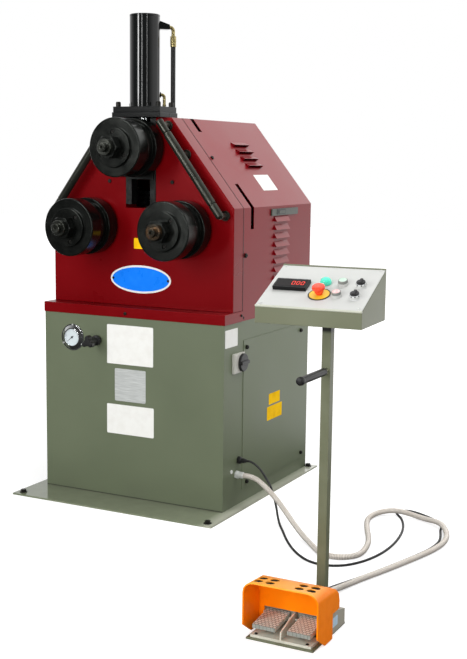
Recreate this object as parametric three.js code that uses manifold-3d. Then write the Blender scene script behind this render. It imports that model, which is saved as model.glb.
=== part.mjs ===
import * as THREE from 'three';
import { mergeVertices } from 'three/addons/utils/BufferGeometryUtils.js';
import Module from 'manifold-3d';

const wasm = await Module();
wasm.setup();

// Ring roller. Lengths are millimetres, angles degrees.
// X runs to the machine's right, Y to its back, Z up. The origin lies on the floor, under the cabinet's centre.

// Clearances
const seat = 0.3; // between two pieces that are bolted or pushed together
const run = 0.4; // radial clearance of a piece that turns or slides
const overrun = 5; // how far a cutter passes the face that it cuts

// Cabinet
const basePlate = { sideReach: 40, frontReach: 160, rearReach: 29, thickness: 6, holeRadius: 9, holeInset: 28 };
const cabinet = { width: 750, depth: 726, height: 662, wall: 2.5, lip: 40 };
const sidePanel = { fromFront: 148, fromBack: 41, rise: 48, belowTop: 69, thickness: 2, overlap: 18 };
const bed = { thickness: 37, overhang: 3, openingWidth: 520, openingFromBack: 113, openingBehindPlate: 10 };

// Front plate and housing
const frontPlate = { setback: 64, thickness: 74, sideHeight: 361, height: 671, topWidth: 251, slotDepth: 318 };
const cover = { wall: 2, seam: 2, skirtLap: 36.7 };
const coverSlot = { fromFront: 195, width: 25, topLength: 59, slopeStart: 293, sideDrop: 76 };
const louvre = { length: 119, reach: 22, bulge: 12, sheet: 1.6, slit: 15, pitch: 32.5, sidePitch: 31 };
const slopeLouvres = { fromFront: 388, firstDown: 123, count: 4 };
const sideLouvres = { fromFront: 389, firstDown: 57, count: 8 };
const gib = { halfGap: 38, width: 24, depth: 40, length: 306 };

// Rolls and shafts
const rolls = { spread: 192, lowerHeight: 285, topDrop: 106, radius: 102 };
const disc = { front: 56, groove: 53, rear: 52, grooveRadius: 88, chamfer: 2.5, behind: 12 };
const shaft = { radius: 30, threadRadius: 28, noseRadius: 16, threadLength: 53, noseLength: 16 };
const shoulder = { radius: 42, clearance: 0.5 };
const clampFlange = { radius: 68, thickness: 12, screwCircle: 52, screwRadius: 8, screwDepth: 7 };
const screwTurns = { top: 90, lower: 45, step: 120, count: 3 };
const lockNut = { acrossCorners: 82, thickness: 36, chamfer: 4, sides: 6 };
const bearingHousing = { radius: 65, proud: 5, flangeRadius: 90, flangeThickness: 16 };

// Slide block and cylinder
const slide = { capHalfWidth: 54, capThickness: 6.7, capDrop: 110, drop: 48, rise: 80, rearReach: 75 };
const cylinderSeat = { halfWidth: 99, thickness: 18, frontOverhang: 34, rearOverhang: 15 };
const cylinderFlange = { inset: 3, thickness: 20, screwRadius: 9, screwHeight: 12, screwInset: 14 };
const barrel = { radius: 54, height: 319, boreRadius: 40, endWall: 33, behindPlateFront: 28.5 };
const rod = { radius: 25, pistonHeight: 40, pistonClearance: 0.4, headRoom: 10 };
const ports = { turn: 43, blockLength: 33, blockWidth: 30, blockHeight: 30, blockSlant: 13, blockDrop: 19 };
const hose = { radius: 8.5, offset: 102, holeClearance: 1.5 };
const upperElbow = { boreRadius: 6, ballRadius: 8.5, drop: 30, ferruleRadius: 11, ferruleLength: 37 };
const lowerElbow = { radius: 6.5, rise: 44, lead: 3, bend: 10, bossRadius: 10, bossLength: 3 };
const guideBar = { radius: 12.5, sleeveRadius: 13.5, sleeveLength: 55, studRadius: 11.5, standOff: 44 };
const guideBarEnds = { topInset: 25.5, topDrop: 11, besideRoll: 154, belowCrease: 30 };

// Drive
const gears = { wheelTeeth: 34, pinionTeeth: 14, pressureAngle: 20, thicknessShare: 0.9, rootShare: 1.25 };
const gear = { behindPlate: 95, width: 50, hubRadius: 45, hubClearance: 0.5 };
const rearPlate = { behindPlate: 165, thickness: 25, width: 580, height: 405 };
const pinionShaft = { radius: 20, lead: 10, engagement: 50 };
const gearbox = { width: 200, height: 200, length: 130 };
const motor = { radius: 80, fromBack: 33 };

// Hydraulic power unit
const tank = { width: 300, length: 350, height: 240, fromLeft: 45, fromFront: 73 };
const pumpMotor = { radius: 85, height: 234 };
const valveColumn = { width: 90, length: 90, belowTop: 48, boreDepth: 40 };
const hosePort = { width: 70, length: 75, belowTop: 108, barHeight: 114 };

// Front fittings, measured from the cabinet's left side and down from its top
const gauge = { fromLeft: 123, belowTop: 88, bodyRadius: 30, depth: 33, flangeRadius: 49, flange: 2.5 };
const gaugeBezel = { footRadius: 45, rimRadius: 34, height: 8 };
const gaugeDial = { radius: 31, recess: 3.5, arborRadius: 1.5, arborDepth: 5 };
const needle = { hubRadius: 4, thickness: 1.5, length: 25, tail: 8, width: 2.6, restTurn: -130 };
const valve = { fromLeft: 233, belowTop: 90, stemRadius: 12, reach: 75 };
const valveCollar = { radius: 19, length: 14, start: 6 };
const valveHead = { lobeRadius: 10, lobeOffset: 15, hubRadius: 14, thickness: 24, lobes: 3 };

// Right-hand fittings, measured from the cabinet's front, and down from its top or up from the floor
const isolator = { fromFront: 62, belowTop: 108, length: 81, height: 70, depth: 11, bevel: 3, spindleRadius: 6 };
const isolatorKnob = { radius: 32.5, skirt: 10, gripLength: 60, gripWidth: 13, grip: 6, spindleDepth: 8, back: 17 };
const gland = { fromFront: 117, z: 170, radius: 14, hexLength: 14, noseRadius: 9, noseLength: 20 };
const connector = { fromFront: 102, z: 120, radius: 15, hexLength: 12, sleeveRadius: 12, sleeveLength: 18 };
const glandThread = { radius: 8, length: 12 };

// Pedestal
const pedestal = { x: 1017, front: -1280, width: 190, length: 220, thickness: 5 };
const pedestalTail = { halfWidth: 40, beyondPole: 14 };
const pole = { x: 1009, y: -975, side: 26, wall: 2, top: 804, capWidth: 90, capLength: 60, cap: 4 };
const poleSocket = { radius: 12, length: 30, z: 20 };
const handle = { z: 670, studRadius: 5, studLength: 45, nutRadius: 10, nutLength: 9 };
const grip = { radius: 10.5, throatRadius: 9.5, ballRadius: 12, ballAt: 167, shoulder: 8 };

// Console
const desk = { x: 990, y: -986, turn: 3.2, width: 298, depth: 210, frontHeight: 46, backHeight: 138, wall: 2 };
const cableHole = { radius: 10 };
const panel = { inset: 1, thickness: 2, bezelRadius: 14.5, bezelHeight: 8, holeRadius: 11 };
const meter = { u: 67.5, v: 108, width: 96, height: 48, proud: 7 };
const meterBody = { width: 90, height: 42, depth: 55 };
const lamp = { u: 156.6, v: 133.5, flangeRadius: 15, flange: 4, domeRadius: 14, domeHeight: 9, stemDepth: 20 };
const estop = { u: 157.7, v: 72.8, headRadius: 18, headHeight: 12, neckRadius: 11, neckHeight: 10 };
const estopStem = { radius: 8, depth: 24, lift: 7 };
const estopHeadShares = [[0.94, 0], [1, 0.2], [1, 0.5], [0.92, 0.8], [0.6, 1]];
const whiteButton = { u: 206, v: 132 };
const redButton = { u: 207, v: 69.5 };
const button = { proud: 12, depth: 12, rounding: 1.5 };
const upperSelector = { u: 258, v: 127 };
const lowerSelector = { u: 259, v: 66 };
const selector = { skirt: 9, depth: 12, gripLength: 23, gripWidth: 8, grip: 9, gripSink: 0.5 };

// Foot pedal
const pedalBase = { halfWidth: 86, front: -1272, plate: 7, earThickness: 3.5, earFront: -1192, earTop: 48 };
const pedalWeb = { halfWidth: 2, frontTop: 33, rearTop: 54, frontLean: 2 };
const pedalHousing = { halfWidth: 97, front: -1164, rear: -1069, top: 61, slopeStart: -1128, rearTop: 47 };
const pedalGland = { x: 967, z: 25, radius: 9, length: 15 };
const pedal = { innerGap: 15, sideGap: 0.5, front: -1268, rear: -1173, thickness: 11 };
const pedalTop = { front: 39, rear: 50 };
const pedalPivot = { y: -1180, z: 35, lugRadius: 8, pinRadius: 4, bite: 2.5, fromMiddle: 0.5 };
const guard = { halfWidth: 107, front: -1279, rear: -1134, top: 155, wall: 4, cornerRadius: 30 };
const guardSide = { frontBottom: 37, tipFront: -1229, tipRear: -1179, tipBottom: 3, step: 71, shoulder: 93 };
const guardRoof = { bendStart: -1213, lipHalfWidth: 95 };
const guardScreen = { notchHalfWidth: 88.5, notchTop: 58, bottom: 7 };
const guardHoles = { radius: 10, firstOut: 42, pitch: 31, firstBack: 27, rowPitch: 27, rows: 2, perRow: 2 };

// Cords
const conduit = { radius: 9, steps: 52 };
const cable = { radius: 4, steps: 68 };

// Places worked out from the sizes above
const cabinetFront = -cabinet.depth / 2;
const cabinetBack = cabinet.depth / 2;
const cabinetSide = cabinet.width / 2;
const cabinetTop = basePlate.thickness + cabinet.height;
const bedTop = cabinetTop + bed.thickness;
const plateFront = cabinetFront + frontPlate.setback;
const plateBack = plateFront + frontPlate.thickness;
const plateTop = bedTop + frontPlate.height;
const creaseZ = bedTop + frontPlate.sideHeight;
const coverFront = plateBack + cover.seam;
const coverBack = cabinetBack + seat + cover.wall;
const lowerAxisZ = bedTop + rolls.lowerHeight;
const topAxisZ = plateTop - rolls.topDrop;
const slopeRun = (cabinet.width - frontPlate.topWidth) / 2;
const slopeFall = frontPlate.height - frontPlate.sideHeight;
const slopeLength = Math.hypot(slopeRun, slopeFall);
const rearPlateFront = plateFront + frontPlate.thickness + rearPlate.behindPlate;
const rearPlateBack = rearPlateFront + rearPlate.thickness;
const gearModule = (2 * rolls.spread) / (gears.wheelTeeth + gears.pinionTeeth);
const gaugeX = -cabinetSide + gauge.fromLeft;
const gaugeZ = cabinetTop - gauge.belowTop;
const valveX = -cabinetSide + valve.fromLeft;
const valveZ = cabinetTop - valve.belowTop;

// Stations along an arc of a quarter turn
const bendShares = [0, 1 / 3, 2 / 3, 1];
const cornerShares = [0, 1 / 4, 1 / 2, 3 / 4, 1];

// Shape helpers

// Turns a closed surface into a solid whose faces point outwards.
function solid(source) {
  const bare = source.clone();
  bare.deleteAttribute('normal');
  bare.deleteAttribute('uv');
  const merged = mergeVertices(bare);
  const corners = merged.index.array;
  const at = merged.attributes.position;
  const a = new THREE.Vector3();
  const b = new THREE.Vector3();
  const c = new THREE.Vector3();
  const kept = [];
  let volume = 0;
  for (let i = 0; i < corners.length; i += 3) {
    const [p, q, r] = [corners[i], corners[i + 1], corners[i + 2]];
    if (p === q || q === r || r === p) continue;
    kept.push(p, q, r);
    volume += a.fromBufferAttribute(at, p).dot(b.fromBufferAttribute(at, q).cross(c.fromBufferAttribute(at, r)));
  }
  if (volume < 0) kept.reverse();
  return new wasm.Manifold(new wasm.Mesh({
    numProp: 3,
    vertProperties: Float32Array.from(at.array),
    triVerts: Uint32Array.from(kept),
  }));
}

function surface(shape) {
  const mesh = shape.getMesh();
  const geometry = new THREE.BufferGeometry();
  geometry.setAttribute('position', new THREE.BufferAttribute(mesh.vertProperties, mesh.numProp));
  geometry.setIndex(new THREE.BufferAttribute(mesh.triVerts, 1));
  geometry.computeVertexNormals();
  return geometry;
}

function joined(...shapes) {
  return shapes.reduce((whole, next) => whole.add(next));
}

function block(x0, x1, y0, y1, z0, z1) {
  const geometry = new THREE.BoxGeometry(x1 - x0, y1 - y0, z1 - z0);
  return solid(geometry.translate((x0 + x1) / 2, (y0 + y1) / 2, (z0 + z1) / 2));
}

function flat(points, depth) {
  const shape = new THREE.Shape(points.map(([x, y]) => new THREE.Vector2(x, y)));
  return new THREE.ExtrudeGeometry(shape, { depth, bevelEnabled: false });
}

// Prisms: the outline is drawn across the axis that the prism runs along.
function prismX(points, x0, x1) {
  return solid(flat(points, x1 - x0).rotateX(Math.PI / 2).rotateZ(Math.PI / 2).translate(x0, 0, 0));
}

function prismY(points, y0, y1) {
  return solid(flat(points, y1 - y0).rotateX(Math.PI / 2).translate(0, y1, 0));
}

function prismZ(points, z0, z1) {
  return solid(flat(points, z1 - z0).translate(0, 0, z0));
}

// Turned shapes: the profile is [radius, height] along the axis, starting and ending on it.
function lathe(profile, sides) {
  return new THREE.LatheGeometry(profile.map(([r, h]) => new THREE.Vector2(r, h)), sides);
}

function turnedX(profile, sides) {
  return solid(lathe(profile, sides).rotateZ(-Math.PI / 2));
}

function turnedY(profile, sides) {
  return solid(lathe(profile, sides));
}

function turnedZ(profile, sides) {
  return solid(lathe(profile, sides).rotateX(Math.PI / 2));
}

function rodProfile(radius, from, to) {
  return [[0, from], [radius, from], [radius, to], [0, to]];
}

function roundX(radius, x0, x1, y, z, sides) {
  return turnedX(rodProfile(radius, x0, x1), sides).translate([0, y, z]);
}

function roundY(radius, y0, y1, x, z, sides) {
  return turnedY(rodProfile(radius, y0, y1), sides).translate([x, 0, z]);
}

function roundZ(radius, z0, z1, x, y, sides) {
  return turnedZ(rodProfile(radius, z0, z1), sides).translate([x, y, 0]);
}

function tube(points, radius, sides, steps) {
  const path = new THREE.CatmullRomCurve3(points.map((p) => new THREE.Vector3(...p)), false, 'centripetal');
  const section = Array.from({ length: sides }, (_, i) => {
    const turn = (2 * Math.PI * i) / sides;
    return new THREE.Vector2(radius * Math.cos(turn), radius * Math.sin(turn));
  });
  return new THREE.ExtrudeGeometry(new THREE.Shape(section), { steps, bevelEnabled: false, extrudePath: path });
}

function radians(degrees) {
  return (degrees * Math.PI) / 180;
}

// Sides of a turned shape
const few = 8;
const coarse = 16;
const fine = 24;

// Looks
function look(color, roughness, metalness) {
  return () => new THREE.MeshStandardMaterial({ color, roughness, metalness });
}

const greyPaint = look('#6c715d', 0.5, 0.1);
const redPaint = look('#72171a', 0.38, 0.1);
const blackSteel = look('#1d1e1d', 0.35, 0.7);
const blackPaint = look('#202121', 0.4, 0.3);
const groundSteel = look('#8d8f8c', 0.3, 0.9);
const castIron = look('#4a4c4b', 0.6, 0.6);
const brass = look('#b39a4b', 0.3, 0.9);
const rubber = look('#161616', 0.8, 0);
const blackPlastic = look('#1a1a1a', 0.5, 0);
const zinc = look('#c2c0b8', 0.35, 0.9);
const aluminium = look('#b3aa99', 0.45, 0.8);
const orangePlastic = look('#f07c12', 0.5, 0);
const whitePanel = look('#e6e7e2', 0.45, 0.1);
const dialWhite = look('#d9dcda', 0.5, 0.1);
const turquoise = look('#2fd6b4', 0.25, 0);
const greyPlastic = look('#b9bab7', 0.4, 0);
const redPlastic = look('#f2401d', 0.35, 0);
const steelBraid = look('#bfb8ae', 0.4, 0.8);

const part = new THREE.Group();

function add(name, shape, material, parent = part) {
  const geometry = shape.isBufferGeometry ? surface(solid(shape)) : surface(shape);
  const mesh = new THREE.Mesh(geometry, material());
  mesh.name = name;
  parent.add(mesh);
  return mesh;
}

// Base plate with an anchor hole near each corner
function makeBasePlate() {
  const side = cabinetSide + basePlate.sideReach;
  const front = cabinetFront - basePlate.frontReach;
  const back = cabinetBack + basePlate.rearReach;
  let plate = block(-side, side, front, back, 0, basePlate.thickness);
  for (const x of [-side + basePlate.holeInset, side - basePlate.holeInset]) {
    for (const y of [front + basePlate.holeInset, back - basePlate.holeInset]) {
      plate = plate.subtract(roundZ(basePlate.holeRadius, -overrun, basePlate.thickness + overrun, x, y, few));
    }
  }
  return plate;
}

// Welded sheet cabinet, open below and above inside a lip that carries the bed
function makeCabinetShell() {
  const { wall, lip } = cabinet;
  const low = basePlate.thickness;
  const inner = cabinetSide - wall;
  const innerEnd = cabinetBack - wall;
  let shell = block(-cabinetSide, cabinetSide, cabinetFront, cabinetBack, low, cabinetTop);
  shell = shell.subtract(block(-inner, inner, -innerEnd, innerEnd, low - overrun, cabinetTop - wall));
  shell = shell.subtract(
    block(-inner + lip, inner - lip, -innerEnd + lip, innerEnd - lip, 0, cabinetTop + overrun));
  const doorFront = cabinetFront + sidePanel.fromFront + sidePanel.overlap;
  const doorBack = cabinetBack - sidePanel.fromBack - sidePanel.overlap;
  const doorLow = low + sidePanel.rise + sidePanel.overlap;
  const doorHigh = cabinetTop - sidePanel.belowTop - sidePanel.overlap;
  shell = shell.subtract(block(inner - overrun, cabinetSide + overrun, doorFront, doorBack, doorLow, doorHigh));
  const wallStart = cabinetFront - overrun;
  const wallEnd = cabinetFront + wall + overrun;
  shell = shell.subtract(roundY(gauge.bodyRadius + run, wallStart, wallEnd, gaugeX, gaugeZ, fine));
  shell = shell.subtract(roundY(valve.stemRadius + run, wallStart, wallEnd, valveX, valveZ, coarse));
  for (const entry of [gland, connector]) {
    const y = cabinetFront + entry.fromFront;
    shell = shell.subtract(
      roundX(glandThread.radius + run, inner - overrun, cabinetSide + overrun, y, entry.z, coarse));
  }
  return shell;
}

function makeSidePanel() {
  return block(cabinetSide, cabinetSide + sidePanel.thickness, cabinetFront + sidePanel.fromFront,
    cabinetBack - sidePanel.fromBack, basePlate.thickness + sidePanel.rise, cabinetTop - sidePanel.belowTop);
}

// Bed: wider in front of the seam, narrower where the cover hangs over it
function makeBed() {
  const wide = cabinetSide + bed.overhang;
  const narrow = cabinetSide - cover.wall - seat;
  const front = block(-wide, wide, cabinetFront - bed.overhang, plateBack, cabinetTop, bedTop);
  const rear = block(-narrow, narrow, plateBack, cabinetBack, cabinetTop, bedTop);
  const half = bed.openingWidth / 2;
  const opening = block(-half, half, plateBack + bed.openingBehindPlate, cabinetBack - bed.openingFromBack,
    cabinetTop - overrun, bedTop + overrun);
  return joined(front, rear).subtract(opening);
}

// Outline of the front plate and the housing, moved inwards by an inset on its sides, slopes and top
function housingOutline(inset, low) {
  const side = cabinetSide - inset;
  const crease = creaseZ - (inset * (slopeLength - slopeFall)) / slopeRun;
  const top = frontPlate.topWidth / 2 - (inset * (slopeLength - slopeRun)) / slopeFall;
  const high = plateTop - inset;
  return [[-side, low], [side, low], [side, crease], [top, high], [-top, high], [-side, crease]];
}

function makeFrontPlate() {
  let plate = prismY(housingOutline(0, bedTop), plateFront, plateBack);
  const half = gib.halfGap + gib.width + seat;
  plate = plate.subtract(block(-half, half, plateFront - overrun, plateBack + overrun,
    plateTop - frontPlate.slotDepth, plateTop + overrun));
  for (const x of [-rolls.spread, rolls.spread]) {
    plate = plate.subtract(
      roundY(bearingHousing.radius + seat, plateFront - overrun, plateBack + overrun, x, lowerAxisZ, fine));
  }
  return plate;
}

// A pressed louvre, drawn on a sheet that faces +z: x along the slit, y towards the closed edge
function louvreHood() {
  const outline = [[0, -cover.wall / 2], [louvre.reach, -cover.wall / 2], [0, louvre.bulge]];
  return prismX(outline, 0, louvre.length);
}

function louvreSlit() {
  const below = -cover.wall - overrun;
  const inside = louvre.bulge - louvre.sheet;
  const outline = [[-overrun, 0], [0, 0], [0, below], [louvre.slit, below], [louvre.slit, 0], [0, inside],
    [-overrun, inside]];
  return prismX(outline, louvre.sheet, louvre.length - louvre.sheet);
}

// Places a shape drawn on a flat sheet onto the right slope or the right side of the housing
function onSlope(shape, y, down) {
  const up = new THREE.Vector3(-slopeRun, 0, slopeFall).normalize();
  const out = new THREE.Vector3(slopeFall, 0, slopeRun).normalize();
  const place = new THREE.Matrix4().makeBasis(new THREE.Vector3(0, 1, 0), up, out);
  place.setPosition(frontPlate.topWidth / 2 - up.x * down, y, plateTop - up.z * down);
  return shape.transform(place.elements);
}

function onSide(shape, y, z) {
  const place = new THREE.Matrix4().makeBasis(
    new THREE.Vector3(0, 1, 0), new THREE.Vector3(0, 0, 1), new THREE.Vector3(1, 0, 0));
  place.setPosition(cabinetSide, y, z);
  return shape.transform(place.elements);
}

// Sheet cover with two slots and two banks of louvres on each side
function makeCover() {
  const low = bedTop - cover.skirtLap;
  const outer = prismY(housingOutline(0, low), coverFront, coverBack);
  const inner = prismY(housingOutline(cover.wall, low - overrun), coverFront - overrun, coverBack + overrun);
  let sheet = outer.subtract(inner);
  const hoods = [];
  const cuts = [];
  for (let i = 0; i < slopeLouvres.count; i += 1) {
    const y = cabinetFront + slopeLouvres.fromFront;
    const down = slopeLouvres.firstDown + i * louvre.pitch;
    hoods.push(onSlope(louvreHood(), y, down));
    cuts.push(onSlope(louvreSlit(), y, down));
  }
  for (let i = 0; i < sideLouvres.count; i += 1) {
    const y = cabinetFront + sideLouvres.fromFront;
    const z = creaseZ - sideLouvres.firstDown - i * louvre.sidePitch;
    hoods.push(onSide(louvreHood(), y, z));
    cuts.push(onSide(louvreSlit(), y, z));
  }
  const slotY = cabinetFront + coverSlot.fromFront;
  const cutter = (along) => block(0, coverSlot.width, -along, 0, -cover.wall - overrun, overrun);
  cuts.push(onSlope(cutter(coverSlot.topLength), slotY, 0));
  cuts.push(onSlope(cutter(slopeLength - coverSlot.slopeStart), slotY, coverSlot.slopeStart));
  cuts.push(onSide(cutter(coverSlot.sideDrop), slotY, creaseZ));
  for (const hood of hoods) sheet = joined(sheet, hood, hood.mirror([1, 0, 0]));
  for (const cut of cuts) sheet = sheet.subtract(cut).subtract(cut.mirror([1, 0, 0]));
  const hoseHole = roundZ(hose.radius + hose.holeClearance, plateTop - cover.wall - overrun, plateTop + overrun,
    hoseX, hoseY, coarse);
  return sheet.subtract(hoseHole);
}

function makeRearPanel() {
  const y0 = cabinetBack + seat;
  return prismY(housingOutline(cover.wall + seat, bedTop - cover.skirtLap), y0, y0 + cover.wall);
}

// Cylinder axis and pressure hose, in plan
const cylinderY = plateFront + barrel.behindPlateFront;
const portTurn = radians(ports.turn);
const hoseX = hose.offset * Math.cos(portTurn);
const hoseY = cylinderY + hose.offset * Math.sin(portTurn);

function makeGib(side) {
  const near = gib.halfGap * side;
  const far = (gib.halfGap + gib.width) * side;
  return block(Math.min(near, far), Math.max(near, far), plateFront, plateFront + gib.depth,
    plateTop - gib.length, plateTop);
}

// Slide block: a cap over the gibs, a neck between them and the guided block behind, bored for the shaft
function makeSlideBlock() {
  const top = topAxisZ + slide.rise;
  const low = topAxisZ - slide.drop;
  const capBack = plateFront - seat;
  const behindGib = plateFront + gib.depth + seat;
  const cap = block(-slide.capHalfWidth, slide.capHalfWidth, capBack - slide.capThickness, capBack,
    topAxisZ - slide.capDrop, top);
  const neckHalf = gib.halfGap - run;
  const neck = block(-neckHalf, neckHalf, capBack, behindGib, low, top);
  const bodyHalf = gib.halfGap + gib.width - run;
  const rear = plateBack + slide.rearReach;
  const body = block(-bodyHalf, bodyHalf, behindGib, rear, low, top);
  const bore = roundY(shaft.radius + run, plateFront - frontPlate.setback, rear + overrun, 0, topAxisZ, fine);
  return joined(cap, neck, body).subtract(bore);
}

const seatTop = plateTop + cylinderSeat.thickness;
const flangeTop = seatTop + cylinderFlange.thickness;
const barrelTop = flangeTop + barrel.height;
const seatFront = plateFront - cylinderSeat.frontOverhang;
const seatBack = plateBack + cylinderSeat.rearOverhang;

function makeCylinderSeat() {
  const { halfWidth } = cylinderSeat;
  const plate = block(-halfWidth, halfWidth, seatFront, seatBack, plateTop, seatTop);
  return plate.subtract(roundZ(rod.radius + run, plateTop - overrun, seatTop + overrun, 0, cylinderY, fine));
}

function makeCylinderFlange() {
  const half = cylinderSeat.halfWidth - cylinderFlange.inset;
  const front = seatFront + cylinderFlange.inset;
  const back = seatBack - cylinderFlange.inset;
  let flange = block(-half, half, front, back, seatTop, flangeTop);
  flange = flange.subtract(roundZ(rod.radius + run, seatTop - overrun, flangeTop + overrun, 0, cylinderY, fine));
  const { screwInset, screwRadius, screwHeight } = cylinderFlange;
  for (const x of [-half + screwInset, half - screwInset]) {
    for (const y of [front + screwInset, back - screwInset]) {
      flange = flange.add(roundZ(screwRadius, flangeTop - overrun, flangeTop + screwHeight, x, y, few));
    }
  }
  return flange;
}

// Turns a shape drawn on the cylinder's +X side about the cylinder to where the ports are
function atPort(shape) {
  return shape.rotate([0, 0, ports.turn]).translate([0, cylinderY, 0]);
}

function makeBarrel() {
  const bore = barrelTop - barrel.endWall;
  const shell = turnedZ(rodProfile(barrel.radius, flangeTop, barrelTop), fine);
  const hollow = turnedZ(rodProfile(barrel.boreRadius, flangeTop - overrun, bore), fine);
  const inside = (barrel.radius + barrel.boreRadius) / 2;
  const outside = barrel.radius + ports.blockLength;
  const high = barrelTop - ports.blockDrop;
  const low = high - ports.blockHeight;
  const outline = [[inside, low], [outside, low], [outside, high - ports.blockSlant], [barrel.radius, high],
    [inside, high]];
  const portBlock = prismY(outline, -ports.blockWidth / 2, ports.blockWidth / 2);
  const boss = roundX(lowerElbow.bossRadius, inside, barrel.radius + lowerElbow.bossLength, 0,
    flangeTop + lowerElbow.rise, coarse);
  return atPort(joined(shell, portBlock, boss).subtract(hollow));
}

function makePistonRod() {
  const foot = topAxisZ + slide.rise;
  const pistonTop = barrelTop - barrel.endWall - rod.headRoom;
  const pistonLow = pistonTop - rod.pistonHeight;
  const pistonRadius = barrel.boreRadius - rod.pistonClearance;
  const profile = [[0, foot], [rod.radius, foot], [rod.radius, pistonLow], [pistonRadius, pistonLow],
    [pistonRadius, pistonTop], [0, pistonTop]];
  return turnedZ(profile, fine).translate([0, cylinderY, 0]);
}

const blockMiddle = barrelTop - ports.blockDrop - (ports.blockHeight + ports.blockSlant) / 2;
const ferruleTop = blockMiddle - upperElbow.drop;
const hoseTop = ferruleTop - upperElbow.ferruleLength;

function makeUpperElbow() {
  const { boreRadius, ballRadius, ferruleRadius } = upperElbow;
  const start = barrel.radius + ports.blockLength + seat;
  const arm = roundX(boreRadius, start, hose.offset, 0, blockMiddle, few);
  const ball = solid(new THREE.SphereGeometry(ballRadius, few, few)).translate([hose.offset, 0, blockMiddle]);
  const leg = roundZ(boreRadius, ferruleTop - overrun, blockMiddle, hose.offset, 0, few);
  const ferrule = roundZ(ferruleRadius, hoseTop, ferruleTop, hose.offset, 0, coarse);
  return atPort(joined(arm, ball, leg, ferrule));
}

function makeLowerElbow() {
  const { radius, rise, lead, bend, bossLength } = lowerElbow;
  const start = barrel.radius + bossLength + seat;
  const z = flangeTop + rise;
  const bendPoints = bendShares.map((share) => {
    const turn = (share * Math.PI) / 2;
    return [start + lead + bend * Math.sin(turn), 0, z - bend * (1 - Math.cos(turn))];
  });
  const foot = [start + lead + bend, 0, flangeTop + seat];
  return atPort(solid(tube([[start, 0, z], ...bendPoints, foot], radius, few, few)));
}

const portTopZ = cabinetTop - hosePort.belowTop;

function makeHose() {
  return roundZ(hose.radius, portTopZ + seat, hoseTop - seat, hoseX, hoseY, coarse);
}

// Guide bar beside the slope, with a sleeve at each end, on three studs
const studShares = [0.055, 0.357, 0.985];

function makeGuideBar(side) {
  const { radius, sleeveRadius, sleeveLength, studRadius, standOff } = guideBar;
  const topX = frontPlate.topWidth / 2 - guideBarEnds.topInset;
  const bottomX = rolls.spread + guideBarEnds.besideRoll;
  const from = new THREE.Vector3(topX * side, plateFront - standOff, plateTop - guideBarEnds.topDrop);
  const to = new THREE.Vector3(bottomX * side, from.y, creaseZ - guideBarEnds.belowCrease);
  const length = from.distanceTo(to);
  const profile = [[0, 0], [sleeveRadius, 0], [sleeveRadius, sleeveLength], [radius, sleeveLength],
    [radius, length - sleeveLength], [sleeveRadius, length - sleeveLength], [sleeveRadius, length],
    [0, length]];
  const bar = lathe(profile, coarse);
  const along = to.clone().sub(from).normalize();
  bar.applyQuaternion(new THREE.Quaternion().setFromUnitVectors(new THREE.Vector3(0, 1, 0), along));
  bar.translate(from.x, from.y, from.z);
  const studs = studShares.map((share) => {
    const at = from.clone().lerp(to, share);
    return roundY(studRadius, from.y, plateFront, at.x, at.z, few);
  });
  return joined(solid(bar), ...studs);
}

// Rolls, shafts and nuts are drawn about the shaft's axis, with y counted back from the front plate's face
const rollBack = -disc.behind;
const rearDiscFront = rollBack - disc.rear;
const grooveFront = rearDiscFront - disc.groove;
const rollFront = grooveFront - disc.front;
const flangeFront = rollFront - clampFlange.thickness;
const threadEnd = flangeFront - shaft.threadLength;
const noseEnd = threadEnd - shaft.noseLength;

function makeRoll(firstTurn) {
  const R = rolls.radius;
  const r = disc.grooveRadius;
  const c = disc.chamfer;
  const f = clampFlange;
  const bore = shaft.radius + seat;
  const profile = [[bore, flangeFront], [f.radius, flangeFront], [f.radius, rollFront], [R - c, rollFront],
    [R, rollFront + c], [R, grooveFront], [r, grooveFront], [r, rearDiscFront], [R, rearDiscFront],
    [R, rollBack - c], [R - c, rollBack], [bore, rollBack], [bore, flangeFront]];
  let roll = turnedY(profile, fine);
  for (let i = 0; i < screwTurns.count; i += 1) {
    const turn = radians(firstTurn + i * screwTurns.step);
    const x = f.screwCircle * Math.cos(turn);
    const z = f.screwCircle * Math.sin(turn);
    roll = roll.subtract(roundY(f.screwRadius, flangeFront - overrun, flangeFront + f.screwDepth, x, z, few));
  }
  return roll;
}

function makeShaft(rear, shoulderBack) {
  const { radius, threadRadius, noseRadius } = shaft;
  const shoulderFront = rollBack + seat;
  const profile = [[0, noseEnd], [noseRadius, noseEnd], [noseRadius, threadEnd], [threadRadius, threadEnd],
    [threadRadius, flangeFront], [radius, flangeFront], [radius, shoulderFront],
    [shoulder.radius, shoulderFront], [shoulder.radius, shoulderBack], [radius, shoulderBack], [radius, rear],
    [0, rear]];
  return turnedY(profile, fine);
}

function makeLockNut() {
  const corner = lockNut.acrossCorners / 2;
  const hex = Array.from({ length: lockNut.sides }, (_, i) => {
    const turn = (2 * Math.PI * i) / lockNut.sides;
    return [corner * Math.cos(turn), corner * Math.sin(turn)];
  });
  const back = flangeFront - seat;
  const front = back - lockNut.thickness;
  const c = lockNut.chamfer;
  const envelope = turnedY(
    [[0, front], [corner - c, front], [corner, front + c], [corner, back], [0, back]], fine);
  const bore = turnedY(rodProfile(shaft.threadRadius + seat, front - overrun, back + overrun), fine);
  return prismY(hex, front, back).intersect(envelope).subtract(bore);
}

function makeBearingHousing() {
  const { radius, proud, flangeRadius, flangeThickness } = bearingHousing;
  const bore = shaft.radius + run;
  const back = frontPlate.thickness;
  const profile = [[bore, -proud], [radius, -proud], [radius, back], [flangeRadius, back],
    [flangeRadius, back + flangeThickness], [bore, back + flangeThickness], [bore, -proud]];
  return turnedY(profile, fine);
}

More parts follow.
